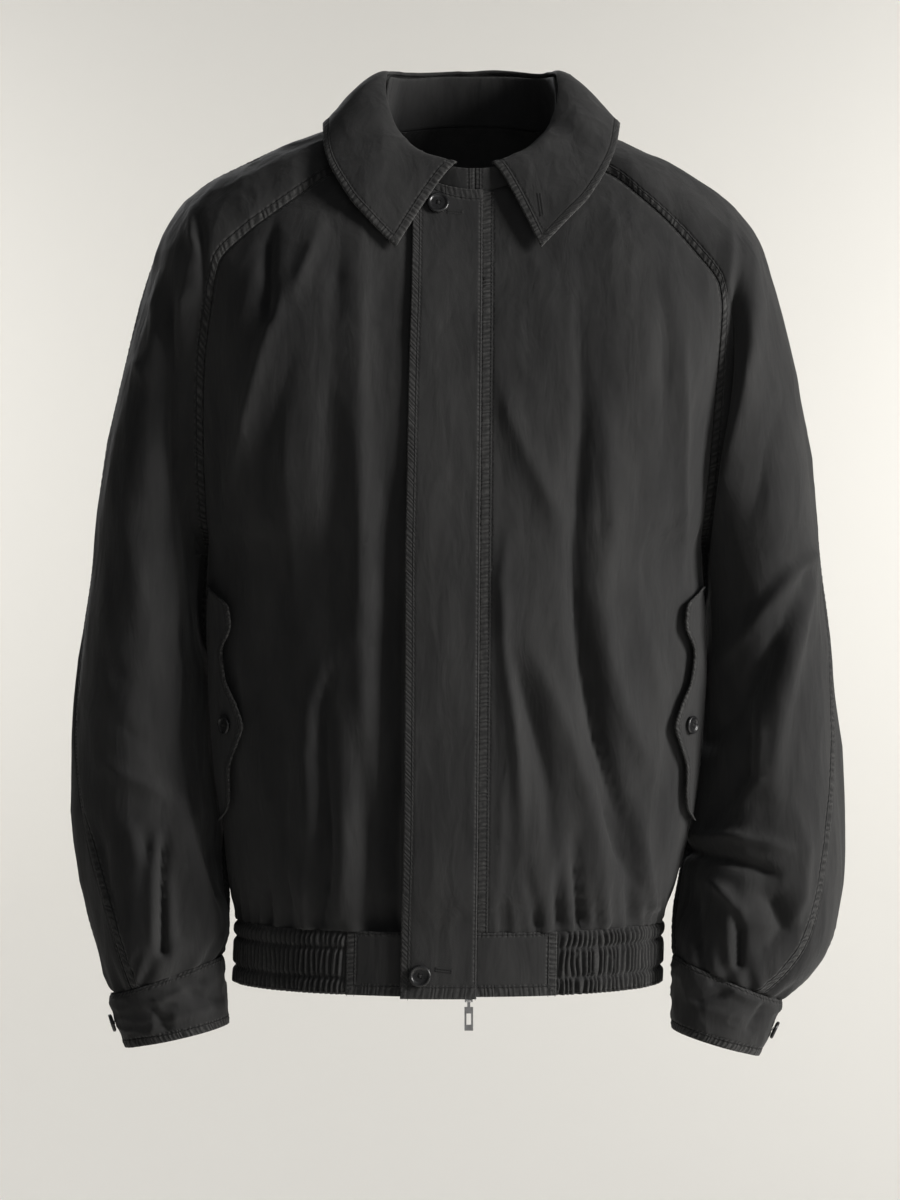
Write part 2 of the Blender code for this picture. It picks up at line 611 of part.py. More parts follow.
def cuff(side):
    """A cuff: a band round the wrist whose end laps over its start and buttons there."""
    sign = SIDES[side]
    top_front, top_back = arm_frame(side, CUFF_ROW)
    inner, outer = CUFF[side]["inner"], CUFF[side]["outer"]
    seam = np.array([sign * inner[0], CUFF_END_MIDDLE, inner[1]])
    edge = np.array([sign * outer[0], CUFF_END_MIDDLE, outer[1]])
    low = half_ring(seam, edge, CUFF_END_DEPTH) + (CUFF_END_DEPTH,)
    angles = np.linspace(100, -290, 32)
    wrapped = np.where(angles < -90, angles + 360, angles)
    lap = np.clip((angles - 40) / 20, 0, 1) * (DOUBLE_CLOTH + 0.0006)
    top = ring_points(top_front, top_back, wrapped)
    bottom = ring_points(low, low, wrapped)
    top[:, 2] -= CUFF_SEAM_DROP
    grid = np.array([top + (bottom - top) * share for share in (0.0, 0.5, 1.0)])
    normals = surface_normals(grid, sign)
    return grid + normals * lap[None, :, None], normals


def neck_loop(panels):
    """The neck seam from the zip round the back to the zip: right half first."""
    parts = []
    for side in ("right", "left"):
        front = panels["front_" + side][0][0]
        arm_front = panels["sleeve_front_" + side][0][0]
        arm_back = panels["sleeve_back_" + side][0][0]
        parts.append(np.concatenate([front, arm_front[1:], arm_back[1:]]))
    back = panels["back"][0][0]
    right, left = parts
    return np.concatenate([right, back[1:-1], left[::-1]])


def neck_shares(loop):
    """How far round each point is: 0 at the zip, 1 at the middle of the back."""
    length = np.concatenate([[0], np.cumsum(np.linalg.norm(np.diff(loop, axis=0), axis=1))])
    return 1 - np.abs(2 * length / length[-1] - 1)


def stand_line(loop, rise):
    """The neck seam raised by a share of the stand's height and leaned in towards the neck."""
    share = neck_shares(loop)
    height = smooth(STAND_HEIGHT["share"], STAND_HEIGHT["height"], share)
    lean = smooth(STAND_HEIGHT["share"], STAND_HEIGHT["lean"], share)
    centre = np.array([middle_x(0.0), 0.0])
    inward = centre - loop[:, :2]
    inward /= np.linalg.norm(inward, axis=1, keepdims=True)
    line = loop.copy()
    line[:, :2] += inward * (lean * rise)[:, None]
    line[:, 2] += height * rise
    return line


def collar_stand(loop):
    """The band that stands round the neck. Its ends meet over the zip."""
    ends = loop[[0, -1]].copy()
    ends[:, 0] = zip_x(ends[0, 2]) + np.array([-0.5, 0.5]) * SEAM_GAP
    closed = np.concatenate([ends[:1], loop, ends[1:]])
    grid = np.array([stand_line(closed, rise) for rise in (0.0, 1.0)])
    return grid, surface_normals(grid, -1)


def collar_leaf(loop):
    """The fall of the collar: it rolls over the top of the stand and ends in two points."""
    share = neck_shares(loop)
    roll = stand_line(loop, 1.0)
    kept = share >= LEAF_START
    roll, share = roll[kept][::2], share[kept][::2]
    share = (share - share.min()) / (1 - share.min())
    side = np.where(np.arange(len(share)) < len(share) / 2, -1, 1)
    middle = middle_x(0.0)
    out = [smooth(LEAF_EDGE["share"], LEAF_EDGE[name], share) for name in SIDES]
    edge = np.stack(
        [
            middle + side * np.where(side < 0, *out),
            -smooth(LEAF_EDGE["share"], LEAF_EDGE["depth"], share),
            smooth(LEAF_EDGE["share"], LEAF_EDGE["z"], share),
        ],
        axis=-1,
    )
    outward = edge - roll
    outward[:, 2] = 0
    outward /= np.linalg.norm(outward, axis=1, keepdims=True)
    up = np.array([0, 0, 1.0])
    along = np.gradient(roll, axis=0)
    level = np.linalg.norm(along[:, :2], axis=1) / np.linalg.norm(along, axis=1)
    start = roll + up * ((COLLAR_CLOTH + 0.0017) / level)[:, None] + outward * 0.0010
    roundness = smooth([0, 0.16], [0.45, 1.0], share)[:, None]
    first = start + (outward * 0.011 + up * 0.006) * roundness
    second = edge + (start - edge) * 0.45 + (up * 0.006 + outward * 0.004) * roundness
    grid = []
    for t in (0.0, 0.12, 0.30, 0.62, 1.0):
        grid.append(
            (1 - t) ** 3 * start + 3 * t * (1 - t) ** 2 * first + 3 * t**2 * (1 - t) * second + t**3 * edge
        )
    grid = np.array(grid)
    return grid, surface_normals(grid, 1)


def side_point(side, row, arc):
    """Points of a front at distances along its row from the side seam, and the row's outward normals."""
    dense = np.linspace(1, 0, 400)
    points, out = body_row(FRONT, side, row, dense)
    length = np.concatenate([[0], np.cumsum(np.linalg.norm(np.diff(points, axis=0), axis=1))])
    return np.stack([np.interp(arc, length, points[:, k]) for k in range(3)], axis=-1)


def flap_rows(count):
    shares = np.linspace(0, 1, count)
    levels = FLAP_TOP_Z + (FLAP_BOTTOM_Z - FLAP_TOP_Z) * shares
    return shares, np.interp(-levels, -FRONT["edge_z"], np.arange(HEM_ROW + 1))


def pocket_flap(side):
    """The scalloped flap of the slanted pocket: sewn down behind, free towards the zip."""
    shares, rows = flap_rows(15)
    widths = smooth(FLAP_EDGE["share"], FLAP_EDGE["width"], shares)
    across = np.linspace(0, 1, 5)
    grid = np.array([side_point(side, row, FLAP_ATTACH + width * across) for row, width in zip(rows, widths)])
    normals = surface_normals(grid, SIDES[side])
    lift = DOUBLE_CLOTH + 0.0016 + 0.0050 * across**1.5
    return grid + normals * lift[None, :, None], normals


def pocket_welt(side):
    """The narrow stitched strip behind the flap."""
    shares, rows = flap_rows(10)
    arcs = FLAP_ATTACH - SEAM_GAP - WELT_WIDTH * np.linspace(0, 1, 3)
    grid = np.array([side_point(side, row, arcs) for row in rows])
    normals = surface_normals(grid, -SIDES[side])
    return grid + normals * (CLOTH + 0.0008), normals


def turned_button(name, place, normal, radius, material, collection):
    """A button: a turned disc with a rim, a dished face and a thread shank that reaches its cloth."""
    shank = 0.0012
    top = shank + BUTTON_THICKNESS
    profile = [
        (0.0, top - 0.0009), (radius * 0.62, top - 0.0009), (radius * 0.76, top), (radius * 0.94, top),
        (radius, top - 0.0008), (radius * 0.9, shank), (radius * 0.35, shank), (radius * 0.35, 0.0), (0.0, 0.0),
    ]
    mesh = bpy.data.meshes.new(name)
    mesh.from_pydata([(r, 0, z) for r, z in profile], [(i, i + 1) for i in range(len(profile) - 1)], [])
    button = add_object(name, mesh, material, collection)
    screw = button.modifiers.new("turn", "SCREW")
    screw.steps = screw.render_steps = BUTTON_STEPS
    screw.use_merge_vertices = True
    screw.merge_threshold = 0.00005
    button.rotation_mode = "QUATERNION"
    button.rotation_quaternion = Vector(normal).to_track_quat("Z", "Y")
    button.location = Vector(place)
    return button


def grid_place(grid, normals, row, column, lift):
    """A point of a grid at fractional row and column numbers, raised along the normal there."""
    i, j = min(int(row), len(grid) - 2), min(int(column), grid.shape[1] - 2)
    a, b = row - i, column - j
    weights = ((i, j, (1 - a) * (1 - b)), (i + 1, j, a * (1 - b)), (i, j + 1, (1 - a) * b), (i + 1, j + 1, a * b))
    place = sum(grid[p, q] * w for p, q, w in weights)
    normal = sum(normals[p, q] * w for p, q, w in weights)
    normal = normal / np.linalg.norm(normal)
    return place + normal * lift, normal


def new_box(name, centre, size, material, collection):
    mesh = bpy.data.meshes.new(name)
    shape = bmesh.new()
    bmesh.ops.create_cube(shape, size=1.0)
    bmesh.ops.scale(shape, vec=size, verts=shape.verts)
    bmesh.ops.translate(shape, vec=centre, verts=shape.verts)
    shape.to_mesh(mesh)
    shape.free()
    return add_object(name, mesh, material, collection)


def new_rod(name, centre, radius, length, sides, material, collection):
    """A cylinder along X."""
    mesh = bpy.data.meshes.new(name)
    shape = bmesh.new()
    bmesh.ops.create_cone(shape, cap_ends=True, segments=sides, radius1=radius, radius2=radius, depth=length)
    bmesh.ops.rotate(shape, cent=(0, 0, 0), matrix=Matrix.Rotation(math.pi / 2, 3, "Y"), verts=shape.verts)
    bmesh.ops.translate(shape, vec=centre, verts=shape.verts)
    shape.to_mesh(mesh)
    shape.free()
    return add_object(name, mesh, material, collection)


def combine(thing, other, operation, cutters):
    """Joins or cuts a piece with another, which becomes a hidden cutter."""
    modifier = thing.modifiers.new(operation.lower(), "BOOLEAN")
    modifier.operation = operation
    modifier.object = other
    for collection in list(other.users_collection):
        collection.objects.unlink(other)
    cutters.objects.link(other)
    other.hide_render = True
    other.display_type = "WIRE"


def zip_slider(pivot_x, material, collection, cutters):
    """The lower slider: a small body with two lugs that hold the pull tab's pin."""
    width, depth, height = SLIDER_SIZE
    body_centre = (pivot_x, PIVOT_Y, SLIDER_TOP_Z - height / 2)
    slider = new_box("zip_slider", body_centre, SLIDER_SIZE, material, collection)
    lug_reach = EYE_WIDTH / 2 + PIN_CLEARANCE + LUG_WIDTH / 2
    lug_top = SLIDER_TOP_Z - height + 0.001
    lug_low = PIVOT_Z - 0.0016
    for sign in (-1, 1):
        centre = (pivot_x + sign * lug_reach, PIVOT_Y, (lug_top + lug_low) / 2)
        lug = new_box("lug_cutter", centre, (LUG_WIDTH, 0.0030, lug_top - lug_low), material, collection)
        combine(slider, lug, "UNION", cutters)
    pin_length = 2 * lug_reach + LUG_WIDTH * 0.6
    pin = new_rod("pin_cutter", (pivot_x, PIVOT_Y, PIVOT_Z), PIN_RADIUS, pin_length, 12, material, collection)
    combine(slider, pin, "UNION", cutters)
    return slider


def pull_tab(pivot_x, material, collection, cutters):
    """The pull tab: a flat tongue that hangs by its eye from the slider's pin. Its origin is on the pin."""
    tab = new_rod("pull_tab", (0, 0, 0), EYE_RADIUS, EYE_WIDTH, 20, material, collection)
    neck_low = -0.0062
    neck = new_box("neck_cutter", (0, 0, (neck_low - 0.0012) / 2), (EYE_WIDTH * 0.8, TAB_SIZE[1], -neck_low - 0.0012),
                   material, collection)
    tongue_top = neck_low + 0.0006
    tongue = new_box("tongue_cutter", (0, 0, tongue_top - TAB_SIZE[2] / 2), TAB_SIZE, material, collection)
    window = new_box("window_cutter", (0, 0, tongue_top - 0.0095), (0.0036, 0.004, 0.0090), material, collection)
    hole = new_rod("hole_cutter", (0, 0, 0), PIN_RADIUS + PIN_CLEARANCE, 0.02, 20, material, collection)
    for other, operation in ((neck, "UNION"), (tongue, "UNION"), (window, "DIFFERENCE"), (hole, "DIFFERENCE")):
        combine(tab, other, operation, cutters)
        other.parent = tab
    tab.location = (pivot_x, PIVOT_Y, PIVOT_Z)
    return tab


def build():
    for thing in list(bpy.data.objects):
        bpy.data.objects.remove(thing, do_unlink=True)
    jacket = bpy.data.collections.new("harrington_jacket")
    cutters = bpy.data.collections.new("cutters")
    for collection in (jacket, cutters):
        bpy.context.scene.collection.children.link(collection)
    cloth, button, metal = (new_material(name) for name in ("cloth", "button", "metal"))

    panels = {"back": back_panel()}
    for side in SIDES:
        panels["front_" + side] = front_panel(side)
        panels["sleeve_front_" + side] = arm_panel(side, "front")
        panels["sleeve_back_" + side] = arm_panel(side, "back")
    loop = neck_loop(panels)
    join_seams(panels)
    for name, (grid, normals) in panels.items():
        lengths = sleeve_lengths(name, grid, normals) if name.startswith("sleeve") else [(name, grid, normals)]
        for part_name, part_grid, part_normals in lengths:
            wall(part_name, trimmed(part_grid), part_normals, CLOTH, cloth, jacket)

    for name, (grid, normals), thickness in (
        ("collar_stand", collar_stand(loop), COLLAR_CLOTH),
        ("collar_leaf", collar_leaf(loop), COLLAR_CLOTH),
        ("waistband_back", plain_back_waist(), DOUBLE_CLOTH),
    ):
        wall(name, trimmed(grid), normals, thickness, cloth, jacket)
    cover, cover_normals = placket()
    wall("placket", cover, cover_normals, DOUBLE_CLOTH, cloth, jacket)

    for side in SIDES:
        for name, (grid, normals), thickness in (
            ("waistband_front_" + side, plain_waist(side), DOUBLE_CLOTH),
            ("elastic_" + side, elastic(side), CLOTH),
            ("cuff_" + side, cuff(side), DOUBLE_CLOTH),
            ("zip_tape_" + side, zip_tape(side), ZIP_THICKNESS),
            ("pocket_welt_" + side, pocket_welt(side), CLOTH),
        ):
            wall(name, trimmed(grid), normals, thickness, cloth, jacket)
        flap, flap_normals = pocket_flap(side)
        wall("pocket_flap_" + side, flap, flap_normals, DOUBLE_CLOTH, cloth, jacket)
        place, normal = grid_place(flap, flap_normals, 8.1, 2.6, SEAM_GAP)
        turned_button("flap_button_" + side, place, normal, SMALL_BUTTON_RADIUS, button, jacket)
        band, band_normals = cuff(side)
        place, normal = grid_place(band, band_normals, 1.0, 1.4, SEAM_GAP)
        turned_button("cuff_button_" + side, place, normal, SMALL_BUTTON_RADIUS, button, jacket)

    for name, row, column in (("top_button", 1.9, 1.91), ("hem_button", len(cover) - 1.36, 2.23)):
        place, normal = grid_place(cover, cover_normals, row, column, SEAM_GAP)
        turned_button(name, place, normal, BUTTON_RADIUS, button, jacket)

    pivot_x = float(zip_x(PIVOT_Z))
    zip_slider(pivot_x, metal, jacket, cutters)
    pull_tab(pivot_x, metal, jacket, cutters)


build()
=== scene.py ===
"""The looks of a black washed-cotton harrington jacket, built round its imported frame, as it is worn.

Metres, +Z up, the jacket's front towards -Y. "right" and "left" are the wearer's, and right is at -X.
"""

import math
from itertools import product

import bmesh
import bpy
import numpy as np
from mathutils import Matrix, Vector


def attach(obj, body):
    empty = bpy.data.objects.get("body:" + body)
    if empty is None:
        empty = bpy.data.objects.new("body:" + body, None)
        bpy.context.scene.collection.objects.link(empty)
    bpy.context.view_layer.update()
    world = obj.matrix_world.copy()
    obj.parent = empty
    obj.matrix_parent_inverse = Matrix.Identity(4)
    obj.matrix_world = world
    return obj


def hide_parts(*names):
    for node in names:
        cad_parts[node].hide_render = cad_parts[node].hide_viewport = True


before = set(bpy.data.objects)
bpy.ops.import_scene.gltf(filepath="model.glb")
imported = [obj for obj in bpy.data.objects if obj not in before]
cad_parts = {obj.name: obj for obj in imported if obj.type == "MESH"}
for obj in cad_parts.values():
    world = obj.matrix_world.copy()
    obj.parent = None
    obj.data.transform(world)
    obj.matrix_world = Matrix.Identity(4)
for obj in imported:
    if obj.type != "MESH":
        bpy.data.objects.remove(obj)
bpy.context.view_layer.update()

# The studio: a pale floor that runs up into a pale wall, a large soft key from the camera's right, a weak
# fill beside the camera, one behind the jacket, and two that face the wall. The camera stands level, a
# little under chest height, 2.8 m away.
CAMERA_DISTANCE = 2.8
PIXEL_AT_OBJECT = 0.00082
FRAME_WIDTH_PX = 900
FRAME_HEIGHT_PX = 1200
MIDDLE_PX = 457
HORIZON_PX = 560
CAMERA_HEIGHT = -0.353
FLOOR_Z = -1.5
WALL_Y = 3.4
PALE = (0.80, 0.785, 0.75, 1.0)


def linked(name, data):
    """Puts data in the scene as an object."""
    made = bpy.data.objects.new(name, data)
    bpy.context.scene.collection.objects.link(made)
    return made


camera_data = bpy.data.cameras.new("camera")
camera_data.sensor_fit = "VERTICAL"
camera_data.sensor_height = 36.0
camera_data.lens = 36.0 * CAMERA_DISTANCE / (FRAME_HEIGHT_PX * PIXEL_AT_OBJECT)
camera_data.shift_y = (HORIZON_PX - FRAME_HEIGHT_PX / 2) / FRAME_HEIGHT_PX
camera = linked("camera", camera_data)
camera.location = ((FRAME_WIDTH_PX / 2 - MIDDLE_PX) * PIXEL_AT_OBJECT, -CAMERA_DISTANCE, CAMERA_HEIGHT)
camera.rotation_euler = (math.pi / 2, 0, 0)
bpy.context.scene.camera = camera


def soft_light(name, place, aim, size, power, colour):
    data = bpy.data.lights.new(name, "AREA")
    data.shape = "RECTANGLE"
    data.size, data.size_y = size
    data.energy = power
    data.color = colour
    light = linked(name, data)
    light.location = place
    light.rotation_euler = (Vector(aim) - Vector(place)).to_track_quat("-Z", "Y").to_euler()


soft_light("key", (2.8, -1.5, 0.45), (0.0, 0.0, -0.35), (0.9, 1.5), 150, (1.0, 0.985, 0.96))
soft_light("fill", (0.5, -3.2, 0.6), (0.0, 0.0, -0.35), (1.8, 2.0), 9.5, (0.96, 0.98, 1.0))
soft_light("back", (-0.9, 2.4, 0.9), (0.0, 0.0, -0.3), (1.0, 1.0), 34, (0.97, 0.98, 1.0))
soft_light("wall_left", (-1.6, 2.3, 0.0), (-1.4, 3.4, -0.2), (1.2, 1.2), 12.5, (1.0, 0.99, 0.965))
soft_light("wall_right", (1.6, 2.3, 0.0), (1.4, 3.4, -0.2), (1.2, 1.2), 13.5, (1.0, 0.99, 0.965))

world = bpy.data.worlds.new("studio")
world.use_nodes = True
world.node_tree.nodes["Background"].inputs["Color"].default_value = (0.93, 0.94, 0.95, 1.0)
world.node_tree.nodes["Background"].inputs["Strength"].default_value = 0.075
bpy.context.scene.world = world
bpy.context.scene.view_settings.view_transform = "Standard"


def studio_sweep():
    """A floor that curves up into a wall, in one sheet."""
    bend = 0.6
    profile = [(-4.5, FLOOR_Z), (WALL_Y - bend, FLOOR_Z)]
    for step in range(1, 13):
        turn = math.pi / 2 * step / 12
        profile.append((WALL_Y - bend + bend * math.sin(turn), FLOOR_Z + bend - bend * math.cos(turn)))
    profile.append((WALL_Y, 2.8))
    half_width = 6.0
    points = [(x, y, z) for y, z in profile for x in (-half_width, half_width)]
    faces = [(2 * i, 2 * i + 1, 2 * i + 3, 2 * i + 2) for i in range(len(profile) - 1)]
    mesh = bpy.data.meshes.new("studio_sweep")
    mesh.from_pydata(points, [], faces)
    mesh.shade_smooth()
    material = bpy.data.materials.new("pale_wall")
    material.use_nodes = True
    shader = material.node_tree.nodes["Principled BSDF"]
    shader.inputs["Base Color"].default_value = PALE
    shader.inputs["Roughness"].default_value = 0.9
    mesh.materials.append(material)
    linked("studio_sweep", mesh)


studio_sweep()

# The fronts and the back: three wide, boxy panels. The fronts stop at the zip, the back is one piece, and
# each is sewn to the raglan sleeves above and gathered into the waistband below. The cloth is a fine cotton
# twill, dyed black and washed: matt charcoal, softly mottled, paler where edges and seams rubbed. Shade is
# painted into its colour too: darker in the stitch grooves and in the hollows of the seams' puckers.
CLOTH_DARK = (0.0110, 0.0110, 0.0115, 1.0)
CLOTH_LIGHT = (0.0245, 0.0243, 0.0243, 1.0)
CLOTH_WORN = (0.068, 0.067, 0.065, 1.0)
# How dark the painted shade in stitch grooves and pucker hollows is, as a share of the dark cloth colour.
GROOVE_SHADE = 0.3
TWILL_PITCH = 0.0011
TWILL_HEIGHT = 0.00018
PUCKER_HEIGHT = 0.0010
CRUMPLE_HEIGHT = 0.0021
UPRIGHT = (1.0, 1.0, 0.32)


def join(tree, source, target):
    tree.links.new(source, target)


def add(tree, kind, inputs=None, **settings):
    """A new node with its settings. inputs holds a value, or another node's output, for each named socket."""
    node = tree.nodes.new(kind)
    for name, value in settings.items():
        setattr(node, name, value)
    for socket, value in (inputs or {}).items():
        if isinstance(value, bpy.types.NodeSocket):
            join(tree, value, node.inputs[socket])
        else:
            node.inputs[socket].default_value = value
    return node


def worked(tree, operation, *values, **settings):
    return add(tree, "ShaderNodeMath", dict(enumerate(values)), operation=operation, **settings).outputs[0]


def noise(tree, place, scale, **inputs):
    named = {name.capitalize(): value for name, value in inputs.items()}
    return add(tree, "ShaderNodeTexNoise", {"Vector": place, "Scale": scale, **named}).outputs["Fac"]


def ranged(tree, value, low=0.0, high=1.0, start=0.0, end=1.0, **settings):
    """Maps start to end onto low to high."""
    inputs = {"Value": value, "From Min": start, "From Max": end, "To Min": low, "To Max": high}
    return add(tree, "ShaderNodeMapRange", inputs, **settings).outputs["Result"]


def mixed(tree, factor, first, second):
    inputs = {"Factor": factor, "A": first, "B": second}
    return add(tree, "ShaderNodeMix", inputs, data_type="RGBA").outputs["Result"]


def bumped(tree, height, distance, strength=1.0, **under):
    """A normal bent by a height. under may name the Normal that it lies on."""
    inputs = {"Height": height, "Distance": distance, "Strength": strength, **under}
    return add(tree, "ShaderNodeBump", inputs).outputs["Normal"]


def group_with(name, inputs, outputs):
    """An empty shader group with named sockets: the group, what it is given and what it gives."""
    group = bpy.data.node_groups.new(name, "ShaderNodeTree")
    for socket, kind, value in inputs:
        made = group.interface.new_socket(socket, in_out="INPUT", socket_type=kind)
        if value is not None:
            made.default_value = value
    for socket in outputs:
        group.interface.new_socket(socket, in_out="OUTPUT", socket_type="NodeSocketFloat")
    return group, group.nodes.new("NodeGroupInput").outputs, group.nodes.new("NodeGroupOutput").inputs


def twill_group():
    """Fine diagonal ribs and yarn specks. It reads the piece's own cloth map, in metres."""
    inputs = [("Map", "NodeSocketVector", None), ("Pitch", "NodeSocketFloat", TWILL_PITCH)]
    group, given, result = group_with("twill", inputs, ("Height", "Speck"))
    split = add(group, "ShaderNodeSeparateXYZ", {0: given["Map"]}).outputs
    turns = worked(group, "DIVIDE", worked(group, "ADD", split["X"], split["Y"]), given["Pitch"])
    rib = worked(group, "SINE", worked(group, "MULTIPLY", turns, math.tau))
    yarn = noise(group, given["Map"], 1400, detail=2)
    join(group, worked(group, "MULTIPLY_ADD", rib, 0.35, yarn), result["Height"])
    join(group, yarn, result["Speck"])
    return group


def wash_group():
    """Where the dye washed out: broken up wear along edges, a broad mottling, and a fine crumple."""
    inputs = [("Place", "NodeSocketVector", None), ("Wear", "NodeSocketFloat", 0.0)]
    group, given, result = group_with("wash", inputs, ("Fade", "Mottle", "Crumple"))
    upright = add(group, "ShaderNodeMapping", {"Vector": given["Place"], "Scale": UPRIGHT}).outputs["Vector"]
    broad = noise(group, upright, 24, detail=6, roughness=0.62)
    patchy = ranged(group, noise(group, given["Place"], 420, detail=3), start=0.30, end=0.72)
    join(group, worked(group, "MULTIPLY", given["Wear"], patchy, use_clamp=True), result["Fade"])
    join(group, ranged(group, broad, start=0.32, end=0.68), result["Mottle"])
    crumple = noise(group, upright, 52, detail=3, roughness=0.50, distortion=0.4)
    join(group, crumple, result["Crumple"])
    return group


def pucker_group():
    """The puckers that a washed, topstitched seam draws up: slanted blobs inside its stitch line, and its
    groove. Shade is painted shade: the colour darkened in the groove and in the hollows of the puckers. Seam
    holds how many puckers along it a point is, how far outside its stitch line, how strong."""
    inputs = [("Seam", "NodeSocketVector", None), ("Slant", "NodeSocketFloat", 45.0)]
    group, given, result = group_with("puckers", inputs, ("Height", "Fade", "Shade"))

    def math_of(operation, *values):
        return worked(group, operation, *values)

    def eased(value, start, end):
        """1 up to start and 0 from end on."""
        return ranged(group, value, 1.0, 0.0, start, end, interpolation_type="SMOOTHSTEP")

    turns, outside, strength = add(group, "ShaderNodeSeparateXYZ", {0: given["Seam"]}).outputs
    drift = math_of("MULTIPLY_ADD", noise(group, given["Seam"], 0.42, detail=2), 2.6, -1.3)
    slanted = math_of("MULTIPLY_ADD", outside, given["Slant"], turns)
    angle = math_of("MULTIPLY", math_of("ADD", slanted, drift), math.tau)
    crest = math_of("MULTIPLY_ADD", math_of("SINE", angle), 0.5, 0.5)
    patchy = noise(group, given["Seam"], 1.3, detail=3)
    crest = math_of("MULTIPLY", crest, math_of("MULTIPLY_ADD", patchy, 1.5, 0.25))
    band = eased(outside, 0.0004, 0.0030)
    groove = eased(math_of("ABSOLUTE", outside), 0.0001, 0.0011)
    raised = math_of("MULTIPLY", band, math_of("MULTIPLY_ADD", crest, 0.62, 0.30))
    height = math_of("SUBTRACT", raised, math_of("MULTIPLY", groove, 0.75))
    # Painted shade in the hollows of the puckers, away from their crests.
    painted_shade_between_crests = math_of("MULTIPLY", band, math_of("MULTIPLY_ADD", crest, -1.5, 0.62))
    faded = math_of("MULTIPLY", band, math_of("MULTIPLY_ADD", math_of("POWER", crest, 1.6), 0.65, 0.10))
    faded = math_of("MULTIPLY", faded, math_of("MULTIPLY_ADD", groove, -0.8, 1.0))
    for name, value in (("Height", height), ("Shade", math_of("MAXIMUM", groove, painted_shade_between_crests)), ("Fade", faded)):
        join(group, math_of("MULTIPLY", value, strength), result[name])
    return group


TWILL = twill_group()
WASH = wash_group()
PUCKERS = pucker_group()


def material_with(name):
    """A new material: its tree, its shader's inputs and the object's own coordinates."""
    material = bpy.data.materials.new(name)
    material.use_nodes = True
    tree = material.node_tree
    place = tree.nodes.new("ShaderNodeTexCoord").outputs["Object"]
    return material, tree, tree.nodes["Principled BSDF"].inputs, place


def cotton(name, dark, light, worn, rib_depth):
    """The washed cotton. rib_depth is the height of its twill, in metres."""
    material, tree, shader, place = material_with(name)
    cloth_map = add(tree, "ShaderNodeUVMap", uv_map="cloth").outputs["UV"]
    worn_here = add(tree, "ShaderNodeAttribute", attribute_name="wear").outputs["Fac"]
    seam_here = add(tree, "ShaderNodeAttribute", attribute_name="seam").outputs["Vector"]
    weave = add(tree, "ShaderNodeGroup", node_tree=TWILL)
    join(tree, cloth_map, weave.inputs["Map"])
    puckers = add(tree, "ShaderNodeGroup", {"Seam": seam_here}, node_tree=PUCKERS).outputs
    most_worn = worked(tree, "MAXIMUM", worn_here, puckers["Fade"])
    wash = add(tree, "ShaderNodeGroup", {"Place": place, "Wear": most_worn}, node_tree=WASH).outputs
    # Painted shade: stitch grooves and the hollows of seam puckers are darkened towards this colour.
    groove = (dark[0] * GROOVE_SHADE, dark[1] * GROOVE_SHADE, dark[2] * GROOVE_SHADE, 1.0)
    faded = mixed(tree, wash["Fade"], mixed(tree, wash["Mottle"], dark, light), worn)
    join(tree, mixed(tree, puckers["Shade"], faded, groove), shader["Base Color"])
    join(tree, ranged(tree, weave.outputs["Speck"], 0.80, 0.95), shader["Roughness"])
    ribbed = bumped(tree, weave.outputs["Height"], rib_depth, 0.6)
    crumpled = bumped(tree, wash["Crumple"], CRUMPLE_HEIGHT, Normal=ribbed)
    join(tree, bumped(tree, puckers["Height"], PUCKER_HEIGHT, Normal=crumpled), shader["Normal"])
    shader["Sheen Weight"].default_value = 0.08
    shader["Sheen Roughness"].default_value = 0.55
    shader["Specular IOR Level"].default_value = 0.25
    return material


cotton_cloth = cotton("washed_cotton", CLOTH_DARK, CLOTH_LIGHT, CLOTH_WORN, TWILL_HEIGHT)


def smooth(keys, values, at):
    """Reads values at rising keys by cubic pieces that never overshoot."""
    keys = np.asarray(keys, float)
    values = np.asarray(values, float)
    at = np.clip(np.asarray(at, float), keys[0], keys[-1])
    step = np.diff(keys)
    slope = np.diff(values) / step
    tangent = np.zeros(len(keys))
    tangent[0] = slope[0]
    tangent[-1] = slope[-1]
    same_way = slope[:-1] * slope[1:] > 0
    harmonic = 2 * slope[:-1] * slope[1:] / np.where(same_way, slope[:-1] + slope[1:], 1)
    tangent[1:-1] = np.where(same_way, harmonic, 0)
    i = np.clip(np.searchsorted(keys, at, side="right") - 1, 0, len(keys) - 2)
    t = (at - keys[i]) / step[i]
    start = values[i] + (3 * t**2 - 2 * t**3) * (values[i + 1] - values[i])
    return start + step[i] * ((t**3 - 2 * t**2 + t) * tangent[i] + (t**3 - t**2) * tangent[i + 1])


def table(columns, rows):
    """A table as one array for each named column."""
    return {name: np.array([row[i] for row in rows], float) for i, name in enumerate(columns)}


def read(source, name, row):
    """One column of a table at any row numbers."""
    return smooth(np.arange(len(source[name])), source[name], row)


def unevenness(points, scale, seed):
    """Smooth random heights from -1 to 1. scale is the size of a bump along each axis, in metres."""
    cells = points / np.asarray(scale, float) + seed * 7.31
    corner = np.floor(cells).astype(np.int64)
    t = cells - corner
    t = t * t * (3 - 2 * t)
    total = np.zeros(points.shape[:-1])
    for offset in product((0, 1), repeat=3):
        at = corner + np.array(offset)
        stirred = (at[..., 0] * 73856093) ^ (at[..., 1] * 19349663) ^ (at[..., 2] * 83492791)
        stirred = stirred ^ (seed * 26544357)
        stirred = ((stirred ^ (stirred >> 13)) * 1274126177) & 0x7FFFFFFF
        stirred = ((stirred ^ (stirred >> 15)) * 1103515245) & 0x7FFFFFFF
        weight = np.prod(np.where(np.array(offset) == 1, t, 1 - t), axis=-1)
        total += (stirred / 0x7FFFFFFF * 2 - 1) * weight
    return total


